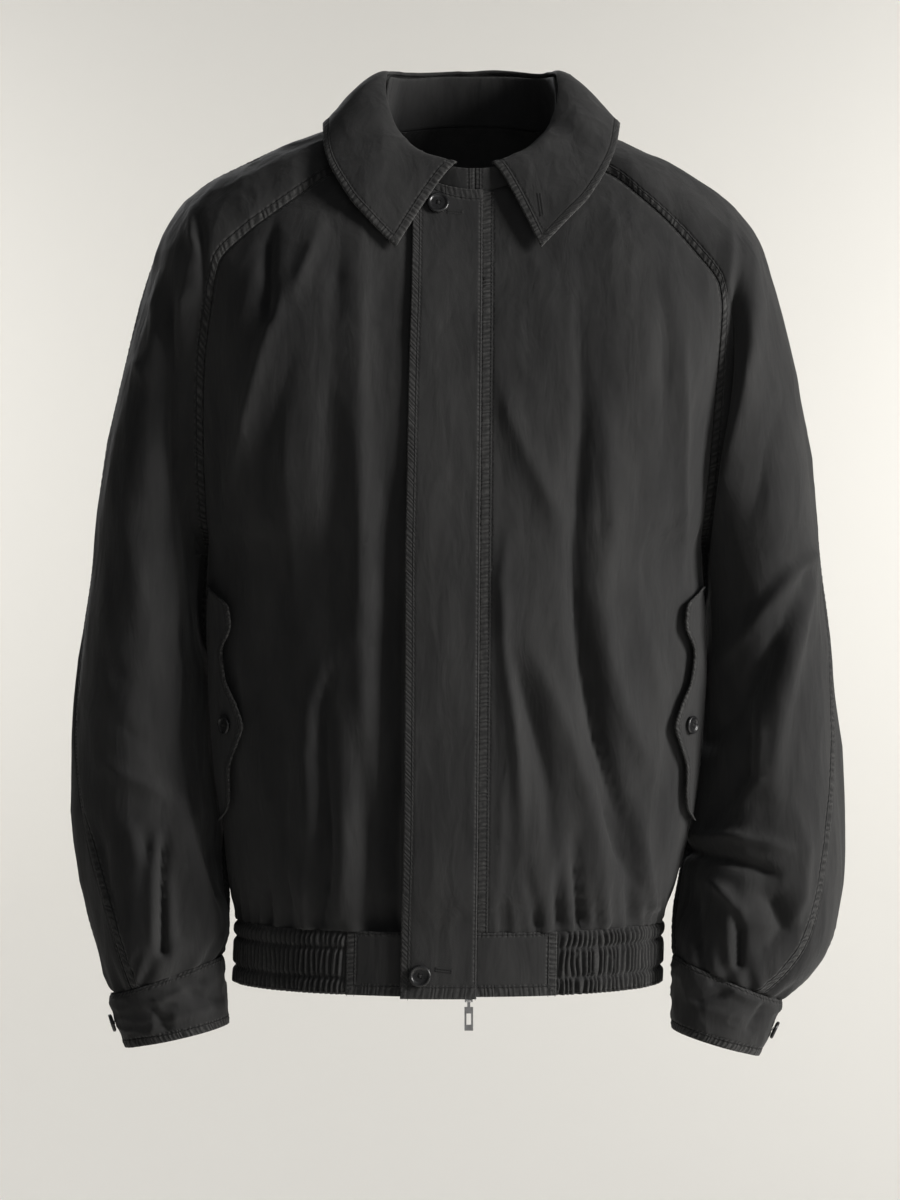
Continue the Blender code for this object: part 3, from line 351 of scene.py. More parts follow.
def surface_normals(grid, outward):
    """Unit normals of a grid. outward is 1 or -1, as its rows and columns run."""
    normal = np.cross(np.gradient(grid, axis=1), np.gradient(grid, axis=0)) * outward
    return normal / np.maximum(np.linalg.norm(normal, axis=-1, keepdims=True), 1e-12)


def lengths(grid, axis):
    """The distance of each point along its row (axis 1) or column (axis 0) from that line's start."""
    steps = np.linalg.norm(np.diff(grid, axis=axis), axis=-1)
    pad = [(0, 0), (0, 0)]
    pad[axis] = (1, 0)
    return np.cumsum(np.pad(steps, pad), axis=axis)


def run_length(line):
    """The distance of each point of a line along it."""
    return np.concatenate([[0], np.cumsum(np.linalg.norm(np.diff(line, axis=0), axis=1))])


def placed_at(stops, distances, line):
    """Points at some stops along a line whose own points lie at rising distances."""
    return np.stack([np.interp(stops, distances, line[:, k]) for k in range(3)], axis=-1)


def edge_distances(grid):
    """Distances to the first and last row and the first and last column, and how far along those edges."""
    down, across = lengths(grid, 0), lengths(grid, 1)
    return {
        "top": (down, across),
        "bottom": (down[-1:] - down, across),
        "first": (across, down),
        "last": (across[:, -1:] - across, down),
    }


def stitched_edge(away, along, inset, seed, strength=1.0):
    """The form of a topstitched edge: raised and softly puckered out to its stitch line, which sits in a
    groove. Gives the height and the wear."""
    place = np.stack([along, away * 0.5, np.zeros_like(away)], axis=-1)
    phase = 2.2 * unevenness(place, (0.030, 0.02, 1), seed)
    pucker = np.sin(math.tau * (along + 0.8 * away) / 0.0070 + phase)
    pucker = pucker * (0.6 + 0.4 * unevenness(place, (0.018, 0.01, 1), seed + 5))
    inside = np.exp(-np.clip(away - inset, 0, None) / 0.0022)
    near = 1 / (1 + np.exp(np.clip((away - inset) / 0.0007, -30, 30)))
    groove = np.exp(-((away - inset) / 0.0011) ** 2)
    lift = strength * (0.0005 * near + 0.00030 * pucker * inside - 0.00040 * groove)
    return lift, np.clip(0.12 * inside + 0.90 * np.exp(-away / 0.0014), 0, 1) * strength


def stitched_edges(edges, lift, rows, seed, seed_by_name=1):
    """Adds the form of several topstitched edges to a lift. Gives the wear along them too."""
    wear = np.zeros(lift.shape)
    for name, (inset, strength, _) in rows.items():
        raised, worn = stitched_edge(*edges[name], inset, seed + seed_by_name * len(name), strength)
        lift = lift + raised
        wear = np.maximum(wear, worn)
    return lift, wear


def sewn_rows(rows, *names):
    """The stitching of a table of rows: edges and distances."""
    return [(name, rows[name][0]) for name in names or rows]


def drawn_seams(rows):
    """The puckered seams of a table of rows: edges, distances, strengths and pitches."""
    return [(name, inset, drawn, FLY_PITCH) for name, (inset, _, drawn) in rows.items()]


def seam_dip(away, depth=0.0009, reach=0.0013):
    """The cloth turns in where it is sewn."""
    return -depth * np.exp(-((away / reach) ** 2))


FOLD_CREST = 1.6
FOLD_UNITS = 10000


def fold_height(grid, folds):
    """Soft ridges and troughs. A fold is its half width, how much steeper its outer side is, and its line as
    seen from the front or back: points of distance from the middle, place along the up axis and height of the
    fold. Its lengths are in tenths of a millimetre."""
    sideways, z = np.abs(grid[..., 0]), grid[..., 2]
    total = np.zeros(z.shape)
    for half_width, steeper, line in folds:
        points = np.array(line) / FOLD_UNITS
        nearest = np.full(z.shape, 1e9)
        height = np.zeros(z.shape)
        for (x0, z0, h0), (x1, z1, h1) in zip(points, points[1:]):
            run = np.array([x1 - x0, z1 - z0])
            along = np.clip(((sideways - x0) * run[0] + (z - z0) * run[1]) / (run @ run), 0, 1)
            off_x, off_z = sideways - x0 - run[0] * along, z - z0 - run[1] * along
            outside = (off_x * run[1] - off_z * run[0]) * (1 if run[1] > 0 else -1) > 0
            far = np.hypot(off_x, off_z) * np.where(outside, steeper, 1.0)
            closer = far < nearest
            nearest = np.where(closer, far, nearest)
            height = np.where(closer, h0 + (h1 - h0) * along, height)
        total += height * np.exp(-((nearest / (half_width / FOLD_UNITS)) ** FOLD_CREST))
    return total


def drape_noise(grid, seed, strength=1.0):
    """The slight unevenness of hanging cloth: long upright swells and a few short soft creases."""
    long_swell = unevenness(grid, (0.034, 0.034, 0.20), seed)
    swell = unevenness(grid, (0.019, 0.019, 0.070), seed + 3)
    crease = (1 - np.abs(unevenness(grid, (0.015, 0.015, 0.055), seed + 7))) ** 3
    small = unevenness(grid, (0.007, 0.007, 0.016), seed + 9)
    return strength * (0.0021 * long_swell + 0.0010 * swell + 0.0007 * crease + 0.00016 * small)


def seam_field(grid, seams):
    """For each point, of its nearest seam: puckers along it, metres outside its stitch line, strength."""
    edges = edge_distances(grid)
    field = np.zeros(grid.shape)
    field[..., 1] = 0.05
    for k, (edge, inset, strength, pitch) in enumerate(seams):
        away, along = edges[edge]
        nearer = away - inset < field[..., 1]
        here = np.stack([along / pitch + 5.37 * k, away - inset, np.full(away.shape, strength)], axis=-1)
        field[nearer] = here[nearer]
    return field


ALLOWANCE_STEPS = ((0.0016, 0.0004), (0.0026, 0.0060))
SHARE_KEPT = 0.60


def side_allowance(edge, grid, normals, *others):
    """A finished face with two more columns that carry a side edge in under the piece next to it."""
    end, before = (0, 1) if edge == "first" else (-1, -2)
    onward = grid[:, end] - grid[:, before]
    onward /= np.linalg.norm(onward, axis=-1, keepdims=True)
    sunk = [grid[:, end] - normals[:, end] * inward + onward * across for inward, across in ALLOWANCE_STEPS]
    widened = []
    for values in (grid, normals) + others:
        added = np.stack(sunk if values is grid else [values[:, end]] * len(sunk), axis=1)
        joined = [added[:, ::-1], values] if edge == "first" else [values, added]
        widened.append(np.concatenate(joined, axis=1))
    return widened


def thinned(piece):
    """Leaves a piece fewer triangles, most of them where the cloth is creased, as a plain mesh."""
    fewer = piece.modifiers.new("fewer", "DECIMATE")
    fewer.ratio = SHARE_KEPT
    seen = piece.evaluated_get(bpy.context.evaluated_depsgraph_get())
    plain = bpy.data.meshes.new_from_object(seen)
    plain.name = piece.name
    piece.modifiers.clear()
    piece.data = plain


def cloth_piece(name, grid, normals, thickness, wear, seams=(), material=None, allowances=()):
    """A cloth wall from its outer face. It carries its wear, its stitched seams and a cloth map in metres."""
    field = seam_field(grid, seams)
    for edge in allowances:
        grid, normals, wear, field = side_allowance(edge, grid, normals, wear, field)
    rows, columns = grid.shape[:2]
    layer = rows * columns
    inner = grid - normals * thickness
    points = np.concatenate([grid.reshape(-1, 3), inner.reshape(-1, 3)])
    index = np.arange(layer).reshape(rows, columns)
    quad = np.stack([index[:-1, :-1], index[:-1, 1:], index[1:, 1:], index[1:, :-1]], axis=-1).reshape(-1, 4)
    walls = [quad, quad[:, ::-1] + layer]
    for edge in (index[0], index[-1][::-1], index[::-1, 0], index[:, -1]):
        walls.append(np.stack([edge[1:], edge[:-1], edge[:-1] + layer, edge[1:] + layer], axis=-1))
    faces = np.concatenate(walls)
    outward = np.cross(grid[0, 1] - grid[0, 0], grid[1, 0] - grid[0, 0]) @ normals[0, 0]
    if outward > 0:
        faces = faces[:, ::-1]
    mesh = bpy.data.meshes.new(name)
    mesh.vertices.add(len(points))
    mesh.vertices.foreach_set("co", points.astype(np.float32).ravel())
    mesh.loops.add(faces.size)
    mesh.loops.foreach_set("vertex_index", faces.astype(np.int32).ravel())
    mesh.polygons.add(len(faces))
    mesh.polygons.foreach_set("loop_start", np.arange(0, faces.size, 4, dtype=np.int32))
    mesh.update(calc_edges=True)
    mesh.validate()
    worn = mesh.attributes.new("wear", "FLOAT", "POINT")
    worn.data.foreach_set("value", np.concatenate([wear.ravel(), wear.ravel()]).astype(np.float32))
    drawn = mesh.attributes.new("seam", "FLOAT_VECTOR", "POINT")
    field = field.reshape(-1, 3)
    drawn.data.foreach_set("vector", np.concatenate([field, field]).astype(np.float32).ravel())
    flat = np.stack([lengths(grid, 1), lengths(grid, 0)], axis=-1).reshape(-1, 2)
    flat = np.concatenate([flat, flat])
    cloth_map = mesh.uv_layers.new(name="cloth")
    cloth_map.data.foreach_set("uv", flat[faces.ravel()].astype(np.float32).ravel())
    mesh.shade_smooth()
    mesh.materials.append(material or cotton_cloth)
    piece = linked(name, mesh)
    thinned(piece)
    return piece


def sewn_in(piece, nodes):
    """Puts a cloth piece on the jacket, where it replaces its solids."""
    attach(piece, "jacket")
    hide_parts(*nodes.split())


SIDES = {"right": -1, "left": 1}
UNDERARM_ROW = 10
WAIST_ROW = 16
HEM_ROW = 17
CLOTH = 0.0015
FRONT = table(
    ("edge_out", "edge_depth", "edge_z", "centre_depth", "centre_z", "turn", "squareness"),
    [
        (0.0670, 0.041, -0.025, 0.080, -0.059, 50, 0.35),
        (0.1130, 0.060, -0.043, 0.085, -0.074, 40, 0.35),
        (0.1370, 0.072, -0.062, 0.091, -0.089, 35, 0.35),
        (0.1580, 0.080, -0.080, 0.097, -0.104, 32, 0.35),
        (0.1780, 0.084, -0.099, 0.103, -0.119, 32, 0.35),
        (0.2000, 0.085, -0.126, 0.110, -0.141, 36, 0.35),
        (0.2040, 0.083, -0.152, 0.116, -0.163, 45, 0.35),
        (0.2055, 0.076, -0.202, 0.125, -0.208, 55, 0.35),
        (0.2040, 0.062, -0.266, 0.132, -0.268, 65, 0.35),
        (0.2015, 0.032, -0.321, 0.136, -0.321, 82, 0.35),
        (0.1985, -0.008, -0.352, 0.137, -0.352, 98, 0.35),
        (0.1980, -0.012, -0.405, 0.137, -0.405, 106, 0.35),
        (0.1960, -0.012, -0.460, 0.136, -0.460, 108, 0.35),
        (0.1925, -0.012, -0.515, 0.135, -0.515, 108, 0.35),
        (0.1865, -0.012, -0.565, 0.134, -0.565, 107, 0.35),
        (0.1800, -0.010, -0.610, 0.131, -0.610, 104, 0.35),
        (0.1730, -0.006, -0.646, 0.119, -0.646, 96, 0.35),
        (0.1730, -0.006, -0.696, 0.120, -0.696, 96, 0.35),
    ],
)
BACK = table(
    ("edge_out", "edge_depth", "edge_z", "centre_depth", "centre_z", "turn", "squareness"),
    [
        (0.0600, 0.058, 0.006, 0.072, 0.012, 30, 0.35),
        (0.0980, 0.074, -0.022, 0.094, -0.016, 25, 0.35),
        (0.1240, 0.086, -0.044, 0.108, -0.040, 22, 0.35),
        (0.1470, 0.094, -0.066, 0.118, -0.064, 22, 0.35),
        (0.1690, 0.099, -0.090, 0.126, -0.088, 25, 0.35),
        (0.1900, 0.101, -0.118, 0.132, -0.118, 32, 0.35),
        (0.2000, 0.098, -0.150, 0.137, -0.150, 42, 0.35),
        (0.2045, 0.086, -0.202, 0.139, -0.202, 55, 0.35),
        (0.2040, 0.068, -0.266, 0.137, -0.267, 68, 0.36),
        (0.2015, 0.041, -0.321, 0.133, -0.321, 76, 0.42),
        (0.1985, 0.008, -0.352, 0.130, -0.352, 80, 0.46),
        (0.1980, 0.012, -0.405, 0.127, -0.405, 74, 0.46),
        (0.1960, 0.012, -0.460, 0.125, -0.460, 72, 0.46),
        (0.1925, 0.012, -0.515, 0.125, -0.515, 72, 0.46),
        (0.1865, 0.012, -0.565, 0.125, -0.565, 73, 0.46),
        (0.1800, 0.010, -0.610, 0.124, -0.610, 76, 0.44),
        (0.1730, 0.006, -0.646, 0.112, -0.646, 84, 0.40),
        (0.1730, 0.006, -0.696, 0.113, -0.696, 84, 0.40),
    ],
)
# The garment leans a little: its middle line by height. The zip has a line of its own.
MIDDLE_LINE = table(
    ("z", "x"),
    [(-0.70, -0.008), (-0.646, -0.006), (-0.56, 0.0), (-0.45, 0.0), (-0.35, -0.002), (-0.266, 0.0),
     (-0.20, 0.003), (-0.13, 0.0095), (-0.03, 0.012), (0.02, 0.012)],
)
ZIP_TOP_X = 0.014
ZIP_HEM_X = 0.009
ZIP_HALF_WIDTH = 0.006
CORNER_DROP = np.array([0, 0.001, 0.002, 0.004, 0.007, 0.009, 0.008, 0.003, 0, 0, 0] + [0] * 9)


def middle_x(z):
    return smooth(MIDDLE_LINE["z"], MIDDLE_LINE["x"], z)


def zip_x(z):
    neck, hem = FRONT["centre_z"][0], FRONT["centre_z"][-1]
    return ZIP_TOP_X + (ZIP_HEM_X - ZIP_TOP_X) * np.clip((neck - z) / (neck - hem), 0, 1)


def body_row(source, side, row, share):
    """Points of one row of a front or the back, at shares 0 (middle line) to 1 (side or raglan seam)."""
    facing = -1 if source is FRONT else 1
    edge_out, edge_depth = read(source, "edge_out", row), read(source, "edge_depth", row)
    centre_depth, turn = read(source, "centre_depth", row), np.radians(read(source, "turn", row))
    reach = read(source, "squareness", row) * math.hypot(edge_out, centre_depth - edge_depth)
    out_points = (0, 0.6 * edge_out, edge_out - math.cos(turn) * reach, edge_out)
    depth_points = (centre_depth, centre_depth, edge_depth + math.sin(turn) * reach, edge_depth)
    share = np.asarray(share, float)
    weights = ((1 - share) ** 3, 3 * share * (1 - share) ** 2, 3 * share**2 * (1 - share), share**3)
    out = sum(w * p for w, p in zip(weights, out_points))
    depth = sum(w * p for w, p in zip(weights, depth_points))
    centre_z = read(source, "centre_z", row)
    corner_drop = smooth(np.arange(len(CORNER_DROP)), CORNER_DROP, row)
    edge_z = read(source, "edge_z", row) - SIDES[side] * corner_drop
    z = centre_z + (edge_z - centre_z) * share**1.6
    start_x = zip_x(z) if source is FRONT else middle_x(z)
    line = start_x + (middle_x(z) - start_x) * out / edge_out
    return np.stack([line + SIDES[side] * out, facing * depth, z], axis=-1), out


def longest_way(first, second, share=1.0):
    """Distances that grow as fast as along either of two lines. The second one's steps count by a share."""
    steps = [np.linalg.norm(np.diff(line, axis=0), axis=1) for line in (first, second)]
    return np.concatenate([[0], np.cumsum(np.maximum(steps[0], steps[1] * share))])


def even_rows(source, side, first, last, spacing):
    """Row numbers whose points lie about one spacing apart down a panel's edge."""
    dense = np.linspace(first, last, 400)
    edge = np.array([body_row(source, side, row, [1.0])[0][0] for row in dense])
    centre = np.array([body_row(source, side, row, [0.0])[0][0] for row in dense])
    length = longest_way(edge, centre)
    return np.interp(np.linspace(0, length[-1], int(length[-1] / spacing)), length, dense)


def crowded(count, ends=0.5):
    """Shares from 0 to 1, closer together near both ends."""
    t = np.linspace(0, 1, count)
    return t - ends * np.sin(math.tau * t) / math.tau


def waist_gathers(grid, seed):
    """Small uneven pleats where a panel is drawn into the waistband. They die out as they rise."""
    across = lengths(grid, 1)
    above = np.linalg.norm(grid - grid[-1:], axis=-1)
    flat = np.stack([across, above * 0.25, np.zeros_like(across)], axis=-1)
    drift = 2.6 * unevenness(flat, (0.030, 0.03, 1), seed)
    wave = np.sin(math.tau * across / 0.0165 + drift * 2.0)
    fine = np.sin(math.tau * across / 0.0072 + drift * 3.1)
    reach = 0.020 + 0.030 * (0.5 + 0.5 * unevenness(flat, (0.016, 9, 1), seed + 2))
    fade = np.exp(-((above / reach) ** 2))
    sharp = np.sign(wave) * np.abs(wave) ** 0.8
    size = np.clip(0.6 + 0.6 * unevenness(flat, (0.022, 9, 1), seed + 4), 0.1, 1.2)
    return fade * (0.0022 * sharp + 0.0008 * fine) * size


TUCK_STEPS = ((0.0026, 0.0006), (0.0030, 0.0055))
EDGE_ROW = 0.0016
CLOSE_ROW = 0.0012
ZIP_ROW = 0.0075
ROPE_PITCH = 0.0062
FLY_PITCH = 0.0039
FRONT_FOLDS = {
    "right": [
        (80, 0.45, [(765, -740, 0), (757, -1410, 50), (765, -2270, 60), (741, -3060, 85), (725, -3840, 90),
            (717, -4550, 70), (749, -5020, 0)]),
        (160, 1.0, [(964, -1480, 0), (980, -2270, -40), (964, -3060, -50), (956, -3770, -30),
            (972, -4160, 0)]),
        (100, 0.8, [(457, -2820, 0), (465, -3530, -90), (473, -4240, -130), (481, -5100, -160),
            (520, -5810, -180), (536, -6400, -140)]),
        (65, 1.0, [(1342, -1270, 0), (1424, -1610, 60), (1530, -1870, 60), (1670, -2370, 50),
            (1812, -2900, 40), (1888, -3370, 0)]),
        (55, 1.0, [(1448, -750, 0), (1497, -1030, -70), (1514, -1500, -80), (1473, -1700, 0)]),
        (90, 1.0, [(1245, -1630, 0), (1358, -2100, -30), (1489, -2650, -30), (1555, -3210, 0)]),
        (60, 1.0, [(1068, -730, 0), (1148, -1080, 45), (1261, -1350, 35), (1326, -1510, 0)]),
        (65, 1.0, [(924, -890, 0), (940, -1320, -35), (956, -1720, 0)]),
        (70, 1.0, [(1391, -2260, 0), (1350, -2820, 25), (1310, -3530, 30), (1277, -4010, 0)]),
        (90, 1.0, [(844, -4080, 0), (1004, -4410, 25), (1132, -4720, 40), (1188, -5060, 45),
            (1156, -5550, 40), (1156, -5980, 0)]),
        (46, 1.0, [(924, -4240, 0), (1052, -4640, -70), (1076, -5060, -80), (1028, -5540, -90),
            (1028, -6060, -90), (1084, -6410, -60)]),
        (70, 1.0, [(876, -4550, 0), (876, -5110, 35), (884, -5740, 50), (924, -6330, 40)]),
        (40, 1.0, [(1213, -4800, 0), (1245, -5270, -30), (1237, -5670, 0)]),
        (60, 1.0, [(725, -5100, 0), (702, -5570, -70), (686, -6400, -90)]),
        (45, 1.0, [(1399, -5980, 0), (1350, -6230, -50), (1310, -6430, -50)]),
        (40, 1.0, [(1464, -6000, 0), (1440, -6230, 40), (1432, -6430, 40)]),
        (40, 1.0, [(1555, -5940, 0), (1522, -6200, -50), (1505, -6410, -50)]),
        (50, 1.0, [(1245, -5870, 0), (1221, -6140, 40), (1204, -6430, 50)]),
        (50, 1.0, [(1654, -4170, 0), (1687, -4810, 30), (1646, -5450, 0)]),
        (60, 1.0, [(1326, -4640, 0), (1375, -5280, -40), (1383, -5910, -40), (1375, -6230, 0)]),
        (70, 1.0, [(1837, -4170, 0), (1555, -4650, 20), (1505, -5440, 25), (1555, -5920, 0)]),
    ],
    "left": [
        (85, 1.5, [(944, -1400, 0), (952, -1950, -30), (976, -2500, -50), (944, -3120, -80),
            (936, -3730, -110), (1000, -4330, -135), (1112, -4940, -145), (1266, -5430, -120),
            (1404, -5930, -30)]),
        (85, 0.75, [(1112, -2110, 0), (1169, -2750, 55), (1201, -3240, 60), (1129, -3850, 50),
            (1153, -4240, 80), (1234, -4580, 90), (1372, -4940, 80), (1536, -5240, 20)]),
        (100, 1.0, [(209, -1850, 0), (398, -2390, 45), (595, -2820, 55), (753, -3150, 40),
            (840, -3450, 0)]),
        (65, 1.0, [(406, -3260, 0), (327, -3690, 50), (359, -4160, 60), (429, -4630, 65), (477, -5100, 60),
            (508, -5880, 10)]),
        (65, 0.8, [(335, -4000, 0), (492, -4500, -60), (626, -4940, -75), (706, -5340, -70),
            (737, -5890, -10)]),
        (90, 1.0, [(555, -4160, 0), (729, -4550, 55), (872, -4930, 70), (1000, -5340, 70),
            (1112, -5780, 40), (1177, -6140, 10)]),
        (45, 1.0, [(904, -5620, 0), (944, -5970, -80), (992, -6410, -100)]),
        (50, 1.0, [(1112, -5190, 0), (1201, -5550, -80), (1290, -5830, -90), (1421, -6110, -30)]),
        (50, 1.0, [(1453, -5360, 0), (1462, -5760, 60), (1552, -6290, 50)]),
        (50, 1.3, [(1777, -1610, 0), (1793, -2250, 40), (1793, -3210, 40), (1777, -3730, 10)]),
        (60, 1.0, [(833, -810, 0), (896, -1480, 20), (896, -2270, 20), (872, -2660, 0)]),
        (70, 1.0, [(1577, -1180, 0), (1643, -1690, -35), (1652, -2490, -30), (1618, -3050, 0)]),
        (55, 1.0, [(809, -5810, 0), (777, -6130, -50), (809, -6400, -60)]),
        (50, 1.0, [(335, -5180, 0), (335, -5650, 30), (311, -6200, 20)]),
        (50, 1.0, [(524, -5810, 0), (571, -6120, -40), (619, -6400, -50)]),
        (45, 1.0, [(1177, -5900, 0), (1161, -6180, 50), (1185, -6390, 50)]),
        (40, 1.0, [(1347, -5990, 0), (1380, -6230, -50), (1404, -6410, -50)]),
        (70, 1.0, [(1331, -3530, 0), (1453, -4010, 30), (1577, -4490, 30), (1685, -4890, 0)]),
    ],
}
BACK_FOLDS = [
    (120, 1.0, [(850, -1300, -31), (700, -3800, -90), (660, -5600, -31)]),
    (90, 1.4, [(1000, -1600, 21), (940, -3400, 60), (900, -4700, 21)]),
    (120, 1.0, [(1350, -2000, 33), (1240, -4200, 95), (1180, -6300, 33)]),
    (100, 1.0, [(1600, -1600, -64), (1680, -4200, -64)]),
    (70, 1.0, [(1500, -1200, 40), (1520, -2600, 40)]),
    (100, 1.0, [(200, -3000, 26), (120, -5000, 75), (160, -6400, 26)]),
    (70, 1.0, [(450, -3800, -30), (400, -5600, -85), (460, -6460, -30)]),
    (65, 1.0, [(1000, -4700, -68), (980, -6460, -68)]),
    (65, 1.0, [(820, -5200, 48), (800, -6300, 48)]),
    (65, 1.0, [(1500, -5000, -60), (1420, -6400, -60)]),
    (100, 1.0, [(300, -1200, -36), (340, -3000, -36)]),
]


def rounded_inside(grid, kept, reach=18):
    """The grid with its columns smoothed over some rows either way, except near the edges that are kept."""
    weights = np.exp(-((np.arange(-reach, reach + 1) / (0.5 * reach)) ** 2))
    weights /= weights.sum()
    near_end = np.minimum(np.arange(len(grid)), np.arange(len(grid))[::-1])
    smoothed = np.zeros_like(grid)
    for shift, weight in zip(range(-reach, reach + 1), weights):
        smoothed += weight * grid[np.clip(np.arange(len(grid)) + shift, 0, len(grid) - 1)]
    edges = edge_distances(grid)
    away = np.clip(np.min([edges[edge][0] for edge in kept], axis=0) / 0.03, 0, 1)
    blend = away * away * (3 - 2 * away) * np.clip(near_end / reach, 0, 1)[:, None]
    return grid + (smoothed - grid) * blend[..., None]


def tucked_under(grid, normals, lift, wear):
    """The finished face of a panel, with two more rows that carry its lower edge in under the band below."""
    face = grid + normals * lift[..., None]
    for inward, down in TUCK_STEPS:
        row = grid[-1] - normals[-1] * inward - np.array([0, 0, down])
        face = np.concatenate([face, row[None]])
    normals = np.concatenate([normals] + [normals[-1:]] * len(TUCK_STEPS))
    wear = np.concatenate([wear] + [np.zeros_like(wear[-1:])] * len(TUCK_STEPS))
    return face, normals, wear


def front_panel(side):
    rows = even_rows(FRONT, side, 0, WAIST_ROW, 0.0022)
    dense = np.linspace(0, 1, 160)
    spread = crowded(84)
    grid = []
    for row in rows:
        start = np.interp(ZIP_HALF_WIDTH, body_row(FRONT, side, row, dense)[1], dense)
        grid.append(body_row(FRONT, side, row, start + (1 - start) * spread)[0])
    grid = rounded_inside(np.array(grid), ("first", "last"))
    normals = surface_normals(grid, -SIDES[side])
    edges = edge_distances(grid)
    seed = 11 if side == "right" else 23
    away_from_zip = edges["first"][0]
    held_flat = np.clip((away_from_zip - 0.040) / 0.012, 0, 1) if side == "right" else 1.0
    beside_placket = np.clip((away_from_zip - 0.008) / 0.012, 0, 1)
    to_seam = np.clip(edges["last"][0] / 0.022, 0, 1)
    lift = fold_height(grid, FRONT_FOLDS[side]) * held_flat * beside_placket * to_seam
    top_calm = np.clip(edges["top"][0] / 0.05, 0, 1)
    lift += drape_noise(grid, seed) * to_seam * beside_placket * top_calm * held_flat
    lift += waist_gathers(grid, seed) * beside_placket * held_flat
    raglan, raglan_wear = stitched_edge(*edges["last"], EDGE_ROW, seed + 1, 0.5)
    lift += raglan + seam_dip(edges["last"][0]) + seam_dip(edges["bottom"][0]) + seam_dip(edges["top"][0])
    wear = raglan_wear * 0.8
    if side == "left":
        strip, strip_wear = stitched_edge(away_from_zip - 0.001, edges["first"][1], 0.0065, seed + 2, 0.9)
        lift += strip
        wear = np.maximum(wear, strip_wear)
    return tucked_under(grid, normals, lift, wear)


# Finished faces with the topstitching that they get at the end: edge, distance and what each end leaves out.
stitched_pieces = []
for side in SIDES:
    grid, normals, wear = front_panel(side)
    if side == "left":
        stitched_pieces.append((grid, normals, [("first", ZIP_ROW)]))
    seams = [("last", EDGE_ROW, 0.6, ROPE_PITCH)] + [("first", 0.0080, 0.75, FLY_PITCH)] * (side == "left")
    piece = cloth_piece("front_%s_cloth" % side, grid, normals, CLOTH, wear, seams)
    sewn_in(piece, "front_" + side)


def back_panel():
    rows = even_rows(BACK, "left", 0, WAIST_ROW, 0.0024)
    spread = crowded(66, 0.3)
    grid = []
    for row in rows:
        right = body_row(BACK, "right", row, spread)[0]
        left = body_row(BACK, "left", row, spread)[0]
        grid.append(np.concatenate([right[::-1], left[1:]]))
    grid = rounded_inside(np.array(grid), ("first", "last"))
    normals = surface_normals(grid, 1)
    edges = edge_distances(grid)
    to_seam = np.clip(np.minimum(edges["first"][0], edges["last"][0]) / 0.022, 0, 1)
    top_calm = np.clip(edges["top"][0] / 0.05, 0, 1)
    skewed = grid.copy()
    skewed[..., 0] = np.where(grid[..., 0] > 0, grid[..., 0] * 1.04 + 0.004, grid[..., 0])
    skewed[..., 2] += np.where(grid[..., 0] > 0, 0.018, 0.0)
    lift = fold_height(skewed, BACK_FOLDS) * to_seam * top_calm
    lift += drape_noise(grid, 41) * to_seam * top_calm + waist_gathers(grid, 43)
    wear = np.zeros(lift.shape)
    for edge in ("first", "last"):
        raised, worn = stitched_edge(*edges[edge], EDGE_ROW, 45, 0.5)
        lift += raised + seam_dip(edges[edge][0])
        wear = np.maximum(wear, worn * 0.8)
    lift += seam_dip(edges["bottom"][0]) + seam_dip(edges["top"][0])
    return tucked_under(grid, normals, lift, wear)


grid, normals, wear = back_panel()
seams = [("first", 0.0016, 0.6, ROPE_PITCH), ("last", 0.0016, 0.6, ROPE_PITCH)]
piece = cloth_piece("back_cloth", grid, normals, CLOTH, wear, seams)
sewn_in(piece, "back")

